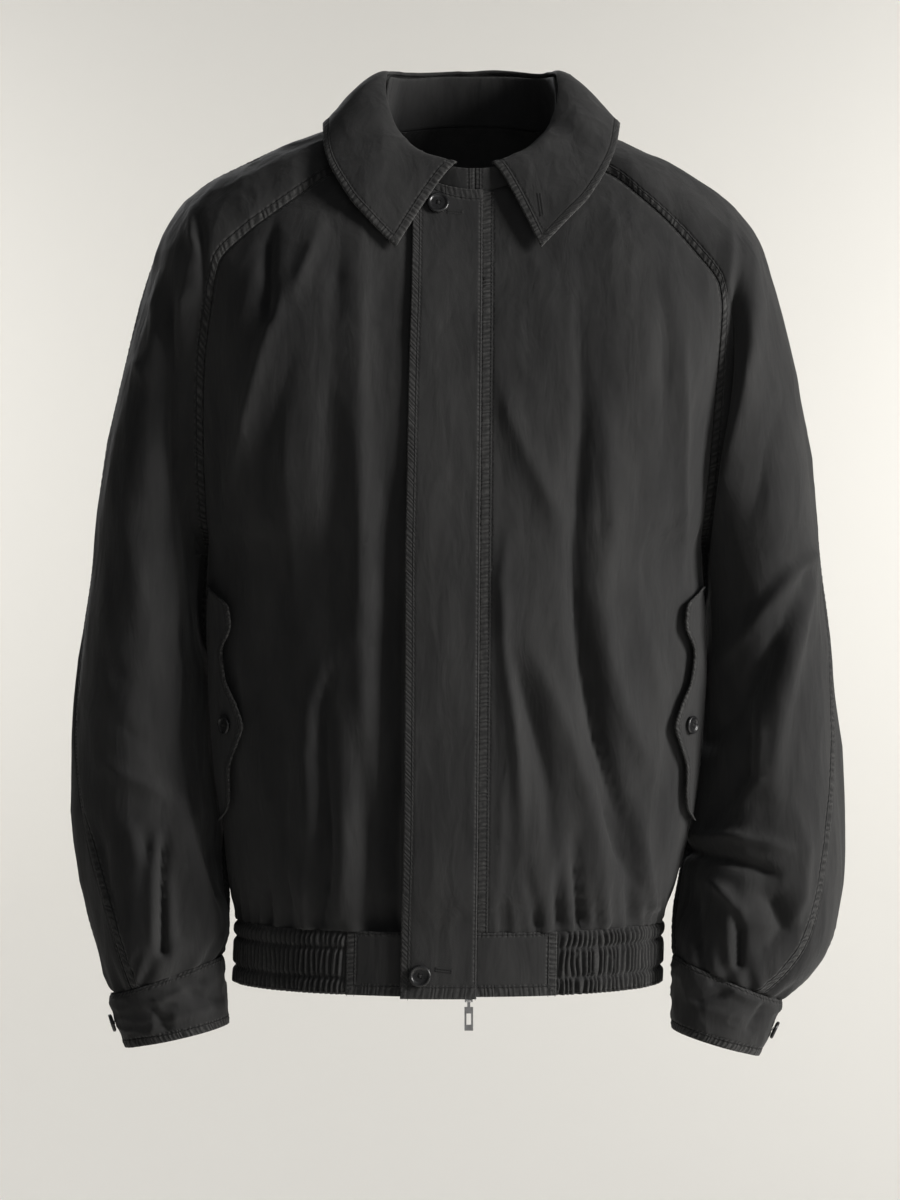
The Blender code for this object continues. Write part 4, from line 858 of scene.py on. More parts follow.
# The sleeves: raglan, cut in a front half and a back half, so a stitched seam runs down the outer arm. They
# are full and soft, hang a little forward, slump at the elbow and are pleated into the cuffs.
CUFF_ROW = 19
SLEEVE_LENGTHS = ("sleeve", "elbow", "forearm", "wrist")
ARM = table(
    ("right_outer", "right_z", "left_outer", "left_z", "right_inner", "left_inner", "inner_z",
     "middle_y", "front_bulge", "back_bulge", "seam_angle"),
    [
        (0.0660, 0.0040, 0.0900, 0.0040, 0.202, 0.198, -0.352, 0.008, 0.000, 0.000, 90),
        (0.1090, -0.003, 0.1310, -0.008, 0.202, 0.198, -0.352, 0.007, 0.000, 0.000, 90),
        (0.1435, -0.0135, 0.1500, -0.0165, 0.202, 0.198, -0.352, 0.007, 0.000, 0.000, 90),
        (0.1787, -0.031, 0.1830, -0.033, 0.202, 0.198, -0.352, 0.007, 0.000, 0.000, 90),
        (0.2066, -0.0435, 0.2100, -0.0485, 0.202, 0.198, -0.352, 0.007, 0.000, 0.000, 90),
        (0.2350, -0.0765, 0.2375, -0.0780, 0.202, 0.198, -0.352, 0.008, 0.001, 0.001, 90),
        (0.2555, -0.127, 0.2570, -0.124, 0.202, 0.198, -0.352, 0.007, 0.003, 0.003, 90),
        (0.2730, -0.198, 0.2750, -0.192, 0.202, 0.198, -0.352, 0.005, 0.008, 0.007, 90),
        (0.2870, -0.262, 0.2880, -0.262, 0.202, 0.198, -0.352, 0.003, 0.020, 0.018, 90),
        (0.2950, -0.320, 0.2945, -0.320, 0.202, 0.198, -0.352, 0.0015, 0.046, 0.044, 90),
        (0.3000, -0.367, 0.2990, -0.362, 0.202, 0.198, -0.352, 0.010, 0.084, 0.084, 90),
        (0.3065, -0.409, 0.3050, -0.405, 0.2045, 0.2027, -0.398, 0.014, 0.088, 0.088, 82),
        (0.3118, -0.450, 0.3095, -0.455, 0.2019, 0.2015, -0.443, 0.018, 0.090, 0.091, 70),
        (0.3175, -0.510, 0.3145, -0.510, 0.1991, 0.1987, -0.492, 0.020, 0.090, 0.093, 60),
        (0.3175, -0.558, 0.3170, -0.560, 0.1947, 0.1943, -0.541, 0.018, 0.089, 0.093, 50),
        (0.3120, -0.600, 0.3175, -0.602, 0.1902, 0.1887, -0.581, 0.012, 0.086, 0.090, 43),
        (0.3040, -0.632, 0.3140, -0.630, 0.1880, 0.1822, -0.613, 0.002, 0.079, 0.083, 40),
        (0.2950, -0.660, 0.3060, -0.664, 0.1862, 0.1770, -0.638, -0.012, 0.067, 0.071, 38),
        (0.2880, -0.683, 0.2880, -0.688, 0.1870, 0.1750, -0.656, -0.026, 0.052, 0.055, 36),
        (0.2790, -0.703, 0.2620, -0.708, 0.1895, 0.1745, -0.672, -0.036, 0.039, 0.040, 35),
    ],
)
SEAM_BAND = 0.0058
ARM_FOLDS = {
    "left": [
        (50, 1.0, [(2209, -710, 0), (2177, -1070, 40), (2169, -1340, 40), (2233, -1620, 0)]),
        (80, 0.75, [(2312, -790, 0), (2336, -1160, 70), (2320, -1810, 100), (2257, -2320, 100),
            (2122, -2970, 80), (2018, -3430, 30), (1947, -3850, 0)]),
        (95, 1.0, [(2289, -1100, 0), (2217, -1500, -150), (2114, -2040, -190), (2026, -2580, -190),
            (1971, -3210, -150), (1923, -3770, -80)]),
        (80, 1.0, [(2615, -2140, 0), (2519, -2500, -35), (2408, -2970, -30), (2289, -3290, 0)]),
        (100, 1.6, [(2845, -3500, 40), (2702, -3610, 70), (2424, -3980, 60), (2153, -4340, 40),
            (1986, -4640, 0)]),
        (90, 1.0, [(2861, -3430, -20), (2662, -3550, -60), (2471, -3780, -40), (2281, -4010, 0)]),
        (90, 1.0, [(2789, -3650, -50), (2623, -4010, -100), (2440, -4390, -90), (2233, -4760, -70),
            (2050, -5000, -30)]),
        (190, 2.4, [(2869, -3550, 40), (2774, -3880, 110), (2670, -4260, 140), (2591, -4670, 130),
            (2543, -5120, 90), (2511, -5480, 0)]),
        (60, 1.0, [(2424, -4640, 0), (2424, -4920, 70), (2408, -5280, 60), (2289, -5440, 30),
            (2050, -5680, 0)]),
        (90, 1.0, [(2328, -4640, 0), (2328, -4960, -90), (2304, -5240, -90), (2177, -5480, -60),
            (1994, -5720, -30)]),
        (50, 1.0, [(1891, -5770, 30), (2209, -5740, 70), (2527, -5800, 60), (2686, -5840, 0)]),
        (55, 1.0, [(1851, -5900, -60), (2169, -5930, -100), (2448, -6010, -80), (2607, -6070, 0)]),
        (55, 1.0, [(1971, -6070, 0), (2130, -6180, 80), (2265, -6330, 60), (2281, -6470, 0)]),
        (34, 1.0, [(2225, -6270, 0), (2241, -6470, -70), (2241, -6760, -80)]),
        (50, 1.0, [(2185, -6270, 0), (2185, -6470, 40), (2177, -6730, 30)]),
        (90, 1.0, [(2344, -6150, 0), (2527, -6270, -100), (2615, -6470, -100), (2471, -6630, -40)]),
        (70, 1.0, [(2686, -5440, 0), (2789, -5840, 50), (2750, -6230, 60), (2591, -6630, 0)]),
        (70, 1.0, [(1931, -6110, 0), (1907, -6310, -60), (1931, -6590, -40)]),
        (100, 1.0, [(2686, -4170, 0), (2805, -4640, 25), (2821, -5280, 0)]),
    ],
    "right": [
        (50, 1.0, [(2156, -630, 0), (2108, -950, 50), (2045, -1180, 0)]),
        (45, 1.0, [(2116, -670, 0), (2053, -970, -60), (2021, -1260, -40), (2013, -1700, 0)]),
        (70, 1.2, [(2434, -1160, 0), (2458, -1460, 55), (2450, -1780, 55), (2498, -2040, 30),
            (2474, -2260, 0)]),
        (160, 1.0, [(2363, -1030, 0), (2363, -1550, -140), (2307, -2010, -170), (2228, -2530, -180),
            (2140, -3040, -160), (2077, -3550, -120), (2029, -4170, -60)]),
        (70, 1.0, [(2140, -1340, 0), (2220, -1460, 40), (2267, -1700, 30), (2267, -2020, 0)]),
        (50, 1.0, [(2645, -1880, 0), (2570, -1960, 30), (2498, -2140, 0)]),
        (140, 1.0, [(2840, -2810, 0), (2681, -3210, 30), (2482, -3850, 30), (2363, -4480, 0)]),
        (100, 1.0, [(2880, -4170, 0), (2721, -4420, -25), (2482, -4640, 0)]),
        (70, 1.0, [(2903, -5100, 0), (2681, -5240, 40), (2474, -5330, 45), (2283, -5460, 30),
            (2164, -5560, 0)]),
        (70, 1.0, [(2840, -4760, 0), (2601, -4920, -20), (2363, -5120, 0)]),
        (75, 0.8, [(2283, -5400, 0), (2212, -5660, 90), (2148, -5960, 100), (2029, -6230, 90),
            (1926, -6550, 50)]),
        (36, 1.0, [(2339, -5660, 0), (2347, -5880, -90), (2347, -6230, -100), (2347, -6650, -90)]),
        (50, 1.0, [(2403, -5640, 0), (2418, -5920, 50), (2426, -6550, 30)]),
        (55, 1.0, [(2522, -5610, 0), (2474, -5840, -50), (2466, -5980, 0)]),
        (65, 1.0, [(2681, -5560, 0), (2585, -5740, 40), (2554, -5930, 30), (2601, -6230, 0)]),
        (80, 1.0, [(2267, -5840, 0), (2236, -6150, -50), (2188, -6510, -50)]),
        (90, 1.0, [(2935, -5520, 0), (2880, -5840, -60), (2792, -6230, -50), (2713, -6510, 0)]),
        (70, 1.0, [(2077, -5560, 0), (1965, -5920, -80), (1933, -6230, -60)]),
    ],
}
BEHIND_FOLDS = [
    (110, 1.0, [(2450, -1300, -42), (2330, -2200, -120), (2160, -3300, -42)]),
    (90, 1.4, [(2560, -1400, 28), (2500, -2400, 80), (2400, -3200, 28)]),
    (150, 1.0, [(2700, -2500, 28), (2620, -3400, 80), (2420, -4200, 28)]),
    (100, 1.0, [(2900, -4000, -42), (2550, -4400, -120), (2100, -4800, -42)]),
    (90, 1.5, [(2880, -4450, 35), (2500, -4950, 100), (2150, -5300, 35)]),
    (75, 1.0, [(2900, -5400, -38), (2500, -5600, -110), (2050, -5730, -38)]),
    (70, 1.0, [(2850, -5700, 31), (2450, -5900, 90), (2150, -5960, 31)]),
    (55, 1.0, [(2550, -6120, -68), (2500, -6620, -68)]),
    (55, 1.0, [(2350, -6150, 48), (2330, -6620, 48)]),
    (50, 1.0, [(2200, -6200, -60), (2220, -6650, -60)]),
]


def half_ring(seam, outer, depth):
    """Centre, outward half axis and start angle of a half ellipse from a seam to the outer line."""
    reach = outer - np.array([seam[0], outer[1], seam[2]])
    width = np.linalg.norm(reach)
    start = -math.acos(min(1.0, abs(seam[1] - outer[1]) / depth))
    half_width = width / (1 - math.sin(start))
    return outer - reach / width * half_width, reach / width * half_width, start


def arm_frame(side, row):
    """The front and back half ellipses of a sleeve's ring."""
    sign = SIDES[side]
    middle = read(ARM, "middle_y", row)
    outer = np.array([sign * read(ARM, side + "_outer", row), middle, read(ARM, side + "_z", row)])
    if row <= UNDERARM_ROW:
        seams = [body_row(source, side, row, [1.0])[0][0] for source in (FRONT, BACK)]
    else:
        seams = [np.array([sign * read(ARM, side + "_inner", row), middle, read(ARM, "inner_z", row)])] * 2
    halves = []
    for seam, bulge in zip(seams, ("front_bulge", "back_bulge")):
        depth = abs(seam[1] - middle) + read(ARM, bulge, row)
        halves.append(half_ring(seam, outer, depth) + (depth,))
    return halves


def ring_points(front, back, angles):
    """Points of a ring. Angle -90 is the inner arm, 0 the front, 90 the outer arm, 180 the back."""
    angles = np.asarray(angles, float)
    points = np.zeros((len(angles), 3))
    for (centre, outward, _, depth), chosen, facing in ((front, angles <= 90, -1), (back, angles > 90, 1)):
        turned = np.radians(angles if facing < 0 else 180 - angles)
        ring = centre + outward * np.sin(turned)[:, None]
        ring[:, 1] += facing * depth * np.cos(turned)
        points[chosen] = ring[chosen]
    return points


def arm_rows(side, spacing):
    """Row numbers about one spacing apart down the outer arm."""
    dense = np.linspace(0, CUFF_ROW, 500)
    outer = np.stack([read(ARM, side + "_outer", dense), read(ARM, side + "_z", dense)], axis=-1)
    seam = np.array([body_row(FRONT, side, min(row, UNDERARM_ROW), [1.0])[0][0] for row in dense])
    length = longest_way(outer, seam, 0.8)
    return np.interp(np.linspace(0, length[-1], int(length[-1] / spacing)), length, dense)


def sleeve_half(side, half):
    """One of a sleeve's two pieces. Its first column is the raglan and inner seam or the outer arm seam."""
    grid = []
    for row in arm_rows(side, 0.0024):
        front, back = arm_frame(side, row)
        seam_angle = float(read(ARM, "seam_angle", row))
        first = math.degrees(front[2]) if half == "front" else seam_angle
        last = seam_angle if half == "front" else 180 - math.degrees(back[2])
        grid.append(ring_points(front, back, first + (last - first) * crowded(70)))
    inner, outer = ("first", "last") if half == "front" else ("last", "first")
    grid = rounded_inside(np.array(grid), (inner,))
    normals = surface_normals(grid, -SIDES[side])
    edges = edge_distances(grid)
    width = edges["first"][0] + edges["last"][0]
    calm = np.clip(np.minimum(edges["first"][0], edges["last"][0]) / np.minimum(0.008, 0.35 * width), 0, 1)
    calm = calm * calm * (3 - 2 * calm)
    to_cuff = np.clip(edges["bottom"][0] / 0.006, 0, 1)
    folds = ARM_FOLDS[side] if half == "front" else BEHIND_FOLDS
    seed = 61 + 10 * (side == "left") + 5 * (half == "back")
    lift = (fold_height(grid, folds) + drape_noise(grid, seed, 1.1)) * calm * to_cuff
    above = edges["bottom"][0]
    across = edges["first"][0]
    spread = np.stack([across, above * 0.2, np.zeros_like(above)], axis=-1)
    tucks = np.sin(math.tau * across / 0.021 + 2.5 * unevenness(spread, (0.04, 0.04, 1), seed))
    lift += 0.0016 * tucks * np.exp(-(above / 0.020) ** 2) * calm
    wear = np.zeros(lift.shape)
    stitched = {inner: (SEAM_BAND, 1.0, 0.75, 0.0), outer: (SEAM_BAND, 1.0, 1.2, 0.0)}
    if half == "back":
        stitched[outer] = (EDGE_ROW, 0.4, 0.6, 1.0)
    for edge, (inset, strength, shade, under) in stitched.items():
        raised, worn = stitched_edge(*edges[edge], inset, seed + len(edge), strength)
        lift += raised + under * seam_dip(edges[edge][0])
        wear = np.maximum(wear, np.clip(worn * shade, 0, 1))
    lift += seam_dip(edges["bottom"][0], 0.0012, 0.0020)
    return tucked_under(grid, normals, lift, wear)


for side, half in product(SIDES, ("front", "back")):
    grid, normals, wear = sleeve_half(side, half)
    inner, outer = ("first", "last") if half == "front" else ("last", "first")
    stitched = (inner, outer) if half == "front" else (inner,)
    rows = [(edge, inset) for edge in stitched for inset in (CLOSE_ROW, SEAM_BAND)]
    stitched_pieces.append((grid, normals, rows))
    outer_row = SEAM_BAND if half == "front" else EDGE_ROW
    drawn_up = [(inner, SEAM_BAND, 1.0, ROPE_PITCH), (outer, outer_row, 0.9, ROPE_PITCH)]
    name = "sleeve_%s_%s_cloth" % (half, side)
    piece = cloth_piece(name, grid, normals, CLOTH, wear, drawn_up, allowances=(inner,))
    lengths_of_it = " ".join("%s_%s_%s" % (length, half, side) for length in SLEEVE_LENGTHS)
    sewn_in(piece, lengths_of_it)

# The cuffs: a straight doubled band of the same cloth, closed by a button on the outer arm, where its end
# laps over. They are sewn round the pleated ends of the sleeves.
CUFF_ENDS = {
    "right": ((0.1840, -0.727), (0.2650, -0.745)),
    "left": ((0.1740, -0.731), (0.2410, -0.751)),
}
CUFF_END_DEPTH = 0.036
CUFF_END_MIDDLE = -0.040
CUFF_SEAM_DROP = 0.0006
# Stitched edges: distance inside the edge, strength of the form and strength of the puckers.
CUFF_ROWS = {"bottom": (0.0060, 0.9, 1.0), "top": (0.0022, 0.5, 0.7), "first": (0.0050, 0.7, 0.8)}
DOUBLE_CLOTH = 0.0021
CUFF_CREASES = [
    (35, 1.0, [(2260, -6870, -39), (2050, -6900, -39)]),
    (40, 1.0, [(2210, -6970, 36), (2390, -7060, 36)]),
    (45, 1.0, [(2100, -7000, -31), (1930, -7060, -31)]),
    (50, 1.0, [(2000, -7120, 27), (2250, -7180, 27)]),
    (40, 1.0, [(2430, -7120, -29), (2330, -7260, -29)]),
]


def cuff(side):
    sign = SIDES[side]
    top_front, top_back = arm_frame(side, CUFF_ROW)
    inner, outer = CUFF_ENDS[side]
    seam = np.array([sign * inner[0], CUFF_END_MIDDLE, inner[1]])
    edge = np.array([sign * outer[0], CUFF_END_MIDDLE, outer[1]])
    low = half_ring(seam, edge, CUFF_END_DEPTH) + (CUFF_END_DEPTH,)
    angles = np.linspace(100, -290, 260)
    wrapped = np.where(angles < -90, angles + 360, angles)
    lap = np.clip((angles - 40) / 20, 0, 1) * (DOUBLE_CLOTH + 0.0006)
    top = ring_points(top_front, top_back, wrapped)
    bottom = ring_points(low, low, wrapped)
    top[:, 2] -= CUFF_SEAM_DROP
    grid = np.array([top + (bottom - top) * share for share in np.linspace(0, 1, 30)])
    normals = surface_normals(grid, sign)
    edges = edge_distances(grid)
    seed = 91 + (side == "left")
    lap_down = np.clip(np.linspace(0, 7, len(grid)), 0, 1)[:, None] * lap
    lift = lap_down + fold_height(grid, CUFF_CREASES) + 0.5 * drape_noise(grid, seed)
    rumple = 1 - np.abs(unevenness(grid, (0.016, 0.016, 0.009), seed + 8))
    lift += 0.0016 * rumple**2 * np.clip(edges["bottom"][0] / 0.010, 0, 1)
    lift, wear = stitched_edges(edges, lift, CUFF_ROWS, seed + 2, 0)
    lift += seam_dip(edges["top"][0])
    return grid + normals * lift[..., None], normals, wear


cuff_grids = {}
for side in SIDES:
    grid, normals, wear = cuff(side)
    cuff_grids[side] = grid, normals
    stitched_pieces.append((grid, normals, sewn_rows(CUFF_ROWS)))
    seams = drawn_seams(CUFF_ROWS)
    piece = cloth_piece("cuff_%s_cloth" % side, grid, normals, DOUBLE_CLOTH, wear, seams)
    sewn_in(piece, "cuff_" + side)

# The waistband: a doubled band sewn under the gathered hem. It is flat at the zip and in the middle of the
# back, and between them elastic draws it up into fine gathers, held by three rows of stitching.
WAIST_PLAIN_END = {"right": 0.0885, "left": 0.0760}
WAIST_BACK_END = 0.0900
ELASTIC_TUCK = 0.0045
GATHER_PITCH = 0.0047
GATHER_DEPTH = 0.0027
ELASTIC_ROWS = (0.02, 0.27, 0.74)
WAIST_ROWS = {"bottom": (0.0075, 0.7, 0.7), "top": (EDGE_ROW, 0.5, 0.7), "last": (0.0070, 0.9, 0.9)}
BACK_WAIST_ROWS = {edge: WAIST_ROWS[edge] for edge in ("bottom", "top")}
BACK_WAIST_ROWS.update(first=WAIST_ROWS["last"], last=WAIST_ROWS["last"])


def front_at(side, row, out):
    """Points of a front at distances from the zip's line, without its folds."""
    dense = np.linspace(0, 1, 200)
    points, distances = body_row(FRONT, side, row, dense)
    return placed_at(out, distances, points)


def finished_band(grid, outward, seed, rows):
    """Raises and wears the stitched edges of a flat band."""
    normals = surface_normals(grid, outward)
    edges = edge_distances(grid)
    lift, wear = stitched_edges(edges, 0.35 * drape_noise(grid, seed), rows, seed)
    lift += seam_dip(edges["top"][0])
    return grid + normals * lift[..., None], normals, wear


def plain_waist(side):
    out = np.linspace(ZIP_HALF_WIDTH, WAIST_PLAIN_END[side], 60)
    grid = np.array([front_at(side, row, out) for row in np.linspace(WAIST_ROW, HEM_ROW, 30)])
    return finished_band(grid, -SIDES[side], 101 + (side == "left"), WAIST_ROWS)


def plain_back_waist():
    dense = np.linspace(0, 1, 300)
    out = np.linspace(0, WAIST_BACK_END, 60)
    rows = []
    for row in np.linspace(WAIST_ROW, HEM_ROW, 30):
        halves = {}
        for side in SIDES:
            points, distances = body_row(BACK, side, row, dense)
            halves[side] = placed_at(out, distances, points)
        rows.append(np.concatenate([halves["right"][::-1], halves["left"][1:]]))
    return finished_band(np.array(rows), 1, 105, BACK_WAIST_ROWS)


def elastic(side):
    dense = np.linspace(0, 1, 400)
    front, front_out = body_row(FRONT, side, WAIST_ROW, dense)
    back, back_out = body_row(BACK, side, WAIST_ROW, dense)
    tucked_front, tucked_back = WAIST_PLAIN_END[side] - ELASTIC_TUCK, WAIST_BACK_END - ELASTIC_TUCK
    path = np.concatenate([front[front_out >= tucked_front], back[back_out >= tucked_back][::-1][1:]])
    length = run_length(path)
    line = placed_at(np.linspace(0, length[-1], 460), length, path)
    top_z, hem_z = FRONT["edge_z"][WAIST_ROW], FRONT["edge_z"][HEM_ROW]
    shares = np.linspace(0, 1, 40)
    grid = np.array([line + np.array([0, 0, (hem_z - top_z) * share]) for share in shares])
    grid[:, :, 0] += middle_x(grid[:, :, 2]) - middle_x(top_z)
    normals = surface_normals(grid, -SIDES[side])
    across, down = lengths(grid, 1), lengths(grid, 0)
    seed = 111 + (side == "left")
    band = np.searchsorted(ELASTIC_ROWS[1:], shares)[:, None]
    flat = np.stack([across, down * 0.55 + band * 0.2, np.zeros_like(across)], axis=-1)
    broad, fine = unevenness(flat, (0.015, 0.010, 1), seed), unevenness(flat, (0.006, 0.012, 1), seed + 1)
    phase = 3.2 * broad + 2.0 * fine
    size = 0.66 + 0.34 * unevenness(flat, (0.009, 0.010, 1), seed + 3)
    wave = np.sin(math.tau * across / GATHER_PITCH + phase)
    rounded = 1 - 2 * (1 - np.clip(0.5 + 0.5 * wave, 0, 1)) ** 2.0
    held = np.zeros_like(down)
    for row in ELASTIC_ROWS:
        held = np.maximum(held, np.exp(-(((shares[:, None] - row) / 0.045) ** 2)))
    free = 1 - held
    ends = np.clip((np.minimum(across, across[:, -1:] - across) - ELASTIC_TUCK) / 0.004, 0, 1)
    top_band = shares[:, None] / ELASTIC_ROWS[1]
    swell = np.sin(math.pi * np.clip(top_band, 0, 1)) * (shares[:, None] < ELASTIC_ROWS[1])
    lift = (GATHER_DEPTH * size * rounded * (0.30 + 0.70 * free) + 0.0006 * free - 0.0007 * held) * ends
    lift += 0.0004 * swell * ends - (DOUBLE_CLOTH + 0.0004) * (1 - ends)
    wear = np.clip(0.02 + 0.42 * np.clip(rounded, 0, 1) ** 2 * free, 0, 1) * ends
    edge = np.exp(-(1 - shares[:, None]) * (top_z - hem_z) / 0.0016)
    wear = np.clip(wear + 0.6 * edge, 0, 1)
    return grid + normals * lift[..., None], normals, wear


shirring_lines = []
for side in SIDES:
    grid, normals, wear = plain_waist(side)
    seams = drawn_seams(WAIST_ROWS)
    piece = cloth_piece("waistband_front_%s_cloth" % side, grid, normals, DOUBLE_CLOTH, wear, seams)
    sewn_in(piece, "waistband_front_" + side)
    rows = sewn_rows(WAIST_ROWS, "top", "bottom", "last") + [("last", CLOSE_ROW)]
    stitched_pieces.append((grid, normals, rows))
    grid, normals, wear = elastic(side)
    for share in ELASTIC_ROWS[1:]:
        shirring_lines.append(grid[round(share * (len(grid) - 1))] + normals[0] * 0.0001)
    seams = [("bottom", 0.0020, 0.5, FLY_PITCH)]
    piece = cloth_piece("elastic_%s_cloth" % side, grid, normals, CLOTH, wear, seams)
    sewn_in(piece, "elastic_" + side)
grid, normals, wear = plain_back_waist()
rows = sewn_rows(BACK_WAIST_ROWS, "top", "bottom", "first", "last")
stitched_pieces.append((grid, normals, rows))
seams = [(edge, inset, 0.8, FLY_PITCH) for edge, inset in rows]
piece = cloth_piece("waistband_back_cloth", grid, normals, DOUBLE_CLOTH, wear, seams)
sewn_in(piece, "waistband_back")

# The collar: a stand sewn round the neck, and a doubled leaf that rolls over it and ends in two points. Both
# are topstitched.
COLLAR_CLOTH = 0.0023
PIECE_GAP = 0.0003
STAND_HEIGHT = table(
    ("share", "height", "lean"),
    [(0.0, 0.018, 0.002), (0.3, 0.018, 0.004), (0.40, 0.022, 0.005), (0.48, 0.034, 0.008),
     (0.57, 0.041, 0.011), (0.70, 0.043, 0.012), (0.85, 0.0415, 0.010), (1.0, 0.040, 0.008)],
)
LEAF_START = 0.025
# The leaf's outer edge, from its points round to the middle of the back.
LEAF_EDGE = table(
    ("share", "right", "left", "depth", "z"),
    [
        (0.00, 0.0605, 0.0540, 0.1085, -0.1060),
        (0.08, 0.0815, 0.0745, 0.1030, -0.0840),
        (0.16, 0.0985, 0.0930, 0.0950, -0.0640),
        (0.34, 0.1185, 0.1150, 0.0600, -0.0230),
        (0.46, 0.1210, 0.1205, 0.0150, 0.0030),
        (0.60, 0.1130, 0.1130, -0.0450, 0.0020),
        (0.80, 0.0650, 0.0650, -0.0960, -0.0090),
        (1.00, 0.0000, 0.0000, -0.1130, -0.0140),
    ],
)
LEAF_STITCH_INSET = 0.0060
COLLAR_PITCH = 0.0046
NECK_COLUMNS = 520


def neck_loop():
    """The neck seam from the zip round the back to the zip, right half first, at even distances."""
    halves = []
    dense = np.linspace(0, 1, 160)
    for side in SIDES:
        first = np.interp(ZIP_HALF_WIDTH, body_row(FRONT, side, 0, dense)[1], dense)
        front = body_row(FRONT, side, 0, np.linspace(first, 1, 60))[0]
        top_front, top_back = arm_frame(side, 0)
        start, end = math.degrees(top_front[2]), 180 - math.degrees(top_back[2])
        arm = ring_points(top_front, top_back, np.linspace(start, end, 60))
        back = body_row(BACK, side, 0, np.linspace(1, 0, 60))[0]
        halves.append(np.concatenate([front, arm[1:-1], back]))
    right, left = halves
    loop = np.concatenate([right, left[::-1][1:]])
    length = run_length(loop)
    return placed_at(np.linspace(0, length[-1], NECK_COLUMNS), length, loop)


def softened(line, width):
    """A line with its corners rounded. Its ends stay."""
    reach = int(width)
    weights = np.exp(-((np.arange(-reach, reach + 1) / (0.5 * reach)) ** 2))
    weights /= weights.sum()
    padded = np.concatenate([np.repeat(line[:1], reach, axis=0), line, np.repeat(line[-1:], reach, axis=0)])
    smoothed = np.stack([np.convolve(padded[:, k], weights, "valid") for k in range(line.shape[1])], axis=-1)
    near_end = np.minimum(np.arange(len(line)), np.arange(len(line))[::-1])
    blend = np.clip(near_end / reach, 0, 1)[:, None]
    return line + (smoothed - line) * blend


NECK = neck_loop()
NECK_SHARES = 1 - np.abs(np.linspace(-1, 1, NECK_COLUMNS))


def stand_line(rise):
    """The neck seam raised by a share of the stand's height and leaned in towards the neck."""
    height = smooth(STAND_HEIGHT["share"], STAND_HEIGHT["height"], NECK_SHARES)
    lean = smooth(STAND_HEIGHT["share"], STAND_HEIGHT["lean"], NECK_SHARES)
    inward = np.array([middle_x(0.0), 0.0]) - NECK[:, :2]
    inward /= np.linalg.norm(inward, axis=1, keepdims=True)
    line = NECK.copy()
    line[:, :2] += inward * (lean * rise)[:, None]
    line[:, 2] += height * rise
    return softened(line, 1 + 22 * rise)


def collar_stand():
    """The band round the neck. Its ends meet over the zip."""
    grid = np.array([stand_line(rise) for rise in np.linspace(0, 1, 20)])
    ends = grid[:, [0, -1]].copy()
    ends[..., 0] = zip_x(NECK[0, 2]) + np.array([-0.5, 0.5]) * PIECE_GAP
    closing = [ends[:, :1] + (grid[:, :1] - ends[:, :1]) * share for share in (0.0, 0.33, 0.67)]
    opening = [grid[:, -1:] + (ends[:, 1:] - grid[:, -1:]) * share for share in (0.33, 0.67, 1.0)]
    grid = np.concatenate(closing + [grid] + opening, axis=1)
    normals = surface_normals(grid, -1)
    edges = edge_distances(grid)
    lift = 0.3 * drape_noise(grid, 121)
    wear = np.zeros(lift.shape)
    for name in ("first", "last", "bottom"):
        raised, worn = stitched_edge(*edges[name], 0.0040, 123, 0.6)
        lift = lift + raised * (name != "bottom")
        wear = np.maximum(wear, worn * 0.7)
    lift += seam_dip(edges["top"][0])
    return grid + normals * lift[..., None], normals, wear


def nearest_edge(edges, names):
    """The distance to the nearest of several edges, and how far along that edge."""
    away, along = edges[names[0]]
    away, along = away.copy(), along.copy()
    for k, name in enumerate(names[1:], 1):
        closer = edges[name][0] < away
        away = np.where(closer, edges[name][0], away)
        along = np.where(closer, edges[name][1] + 0.37 * k, along)
    return away, along


def leaf_edge_line(share, side):
    """Points of the leaf's outer edge. share is 0 at a collar point and 1 at the middle of the back."""
    right, left, depth, z = (
        smooth(LEAF_EDGE["share"], LEAF_EDGE[name], share) for name in ("right", "left", "depth", "z")
    )
    return np.stack([middle_x(0.0) + side * np.where(side < 0, right, left), -depth, z], axis=-1)


def collar_leaf():
    kept = NECK_SHARES >= LEAF_START
    roll, share = stand_line(1.0)[kept], NECK_SHARES[kept]
    share = (share - share.min()) / (1 - share.min())
    side = np.where(np.arange(len(share)) < len(share) / 2, -1, 1)
    edge = leaf_edge_line(share, side)
    outward = edge - roll
    outward[:, 2] = 0
    outward /= np.linalg.norm(outward, axis=1, keepdims=True)
    up = np.array([0, 0, 1.0])
    along = np.gradient(roll, axis=0)
    level = np.linalg.norm(along[:, :2], axis=1) / np.linalg.norm(along, axis=1)
    start = roll + up * ((COLLAR_CLOTH + 0.0017) / level)[:, None] + outward * 0.0010
    roundness = smooth([0, 0.16], [0.45, 1.0], share)[:, None]
    first = start + (outward * 0.011 + up * 0.006) * roundness
    second = edge + (start - edge) * 0.45 + (up * 0.006 + outward * 0.004) * roundness
    grid = np.array([
        (1 - t) ** 3 * start + 3 * t * (1 - t) ** 2 * first + 3 * t**2 * (1 - t) * second + t**3 * edge
        for t in np.linspace(0, 1, 48)
    ])
    normals = surface_normals(grid, 1)
    edges = edge_distances(grid)
    away, along = nearest_edge(edges, ("bottom", "first", "last"))
    lift, wear = stitched_edge(away, along, LEAF_STITCH_INSET, 131, 1.0)
    inside = np.clip(away / 0.02, 0, 1)
    lift = lift + 0.8 * drape_noise(grid, 133) * inside
    roll_wear = 0.35 * np.exp(-edges["top"][0] / 0.006)
    return grid + normals * lift[..., None], normals, np.clip(np.maximum(wear, roll_wear), 0, 1)


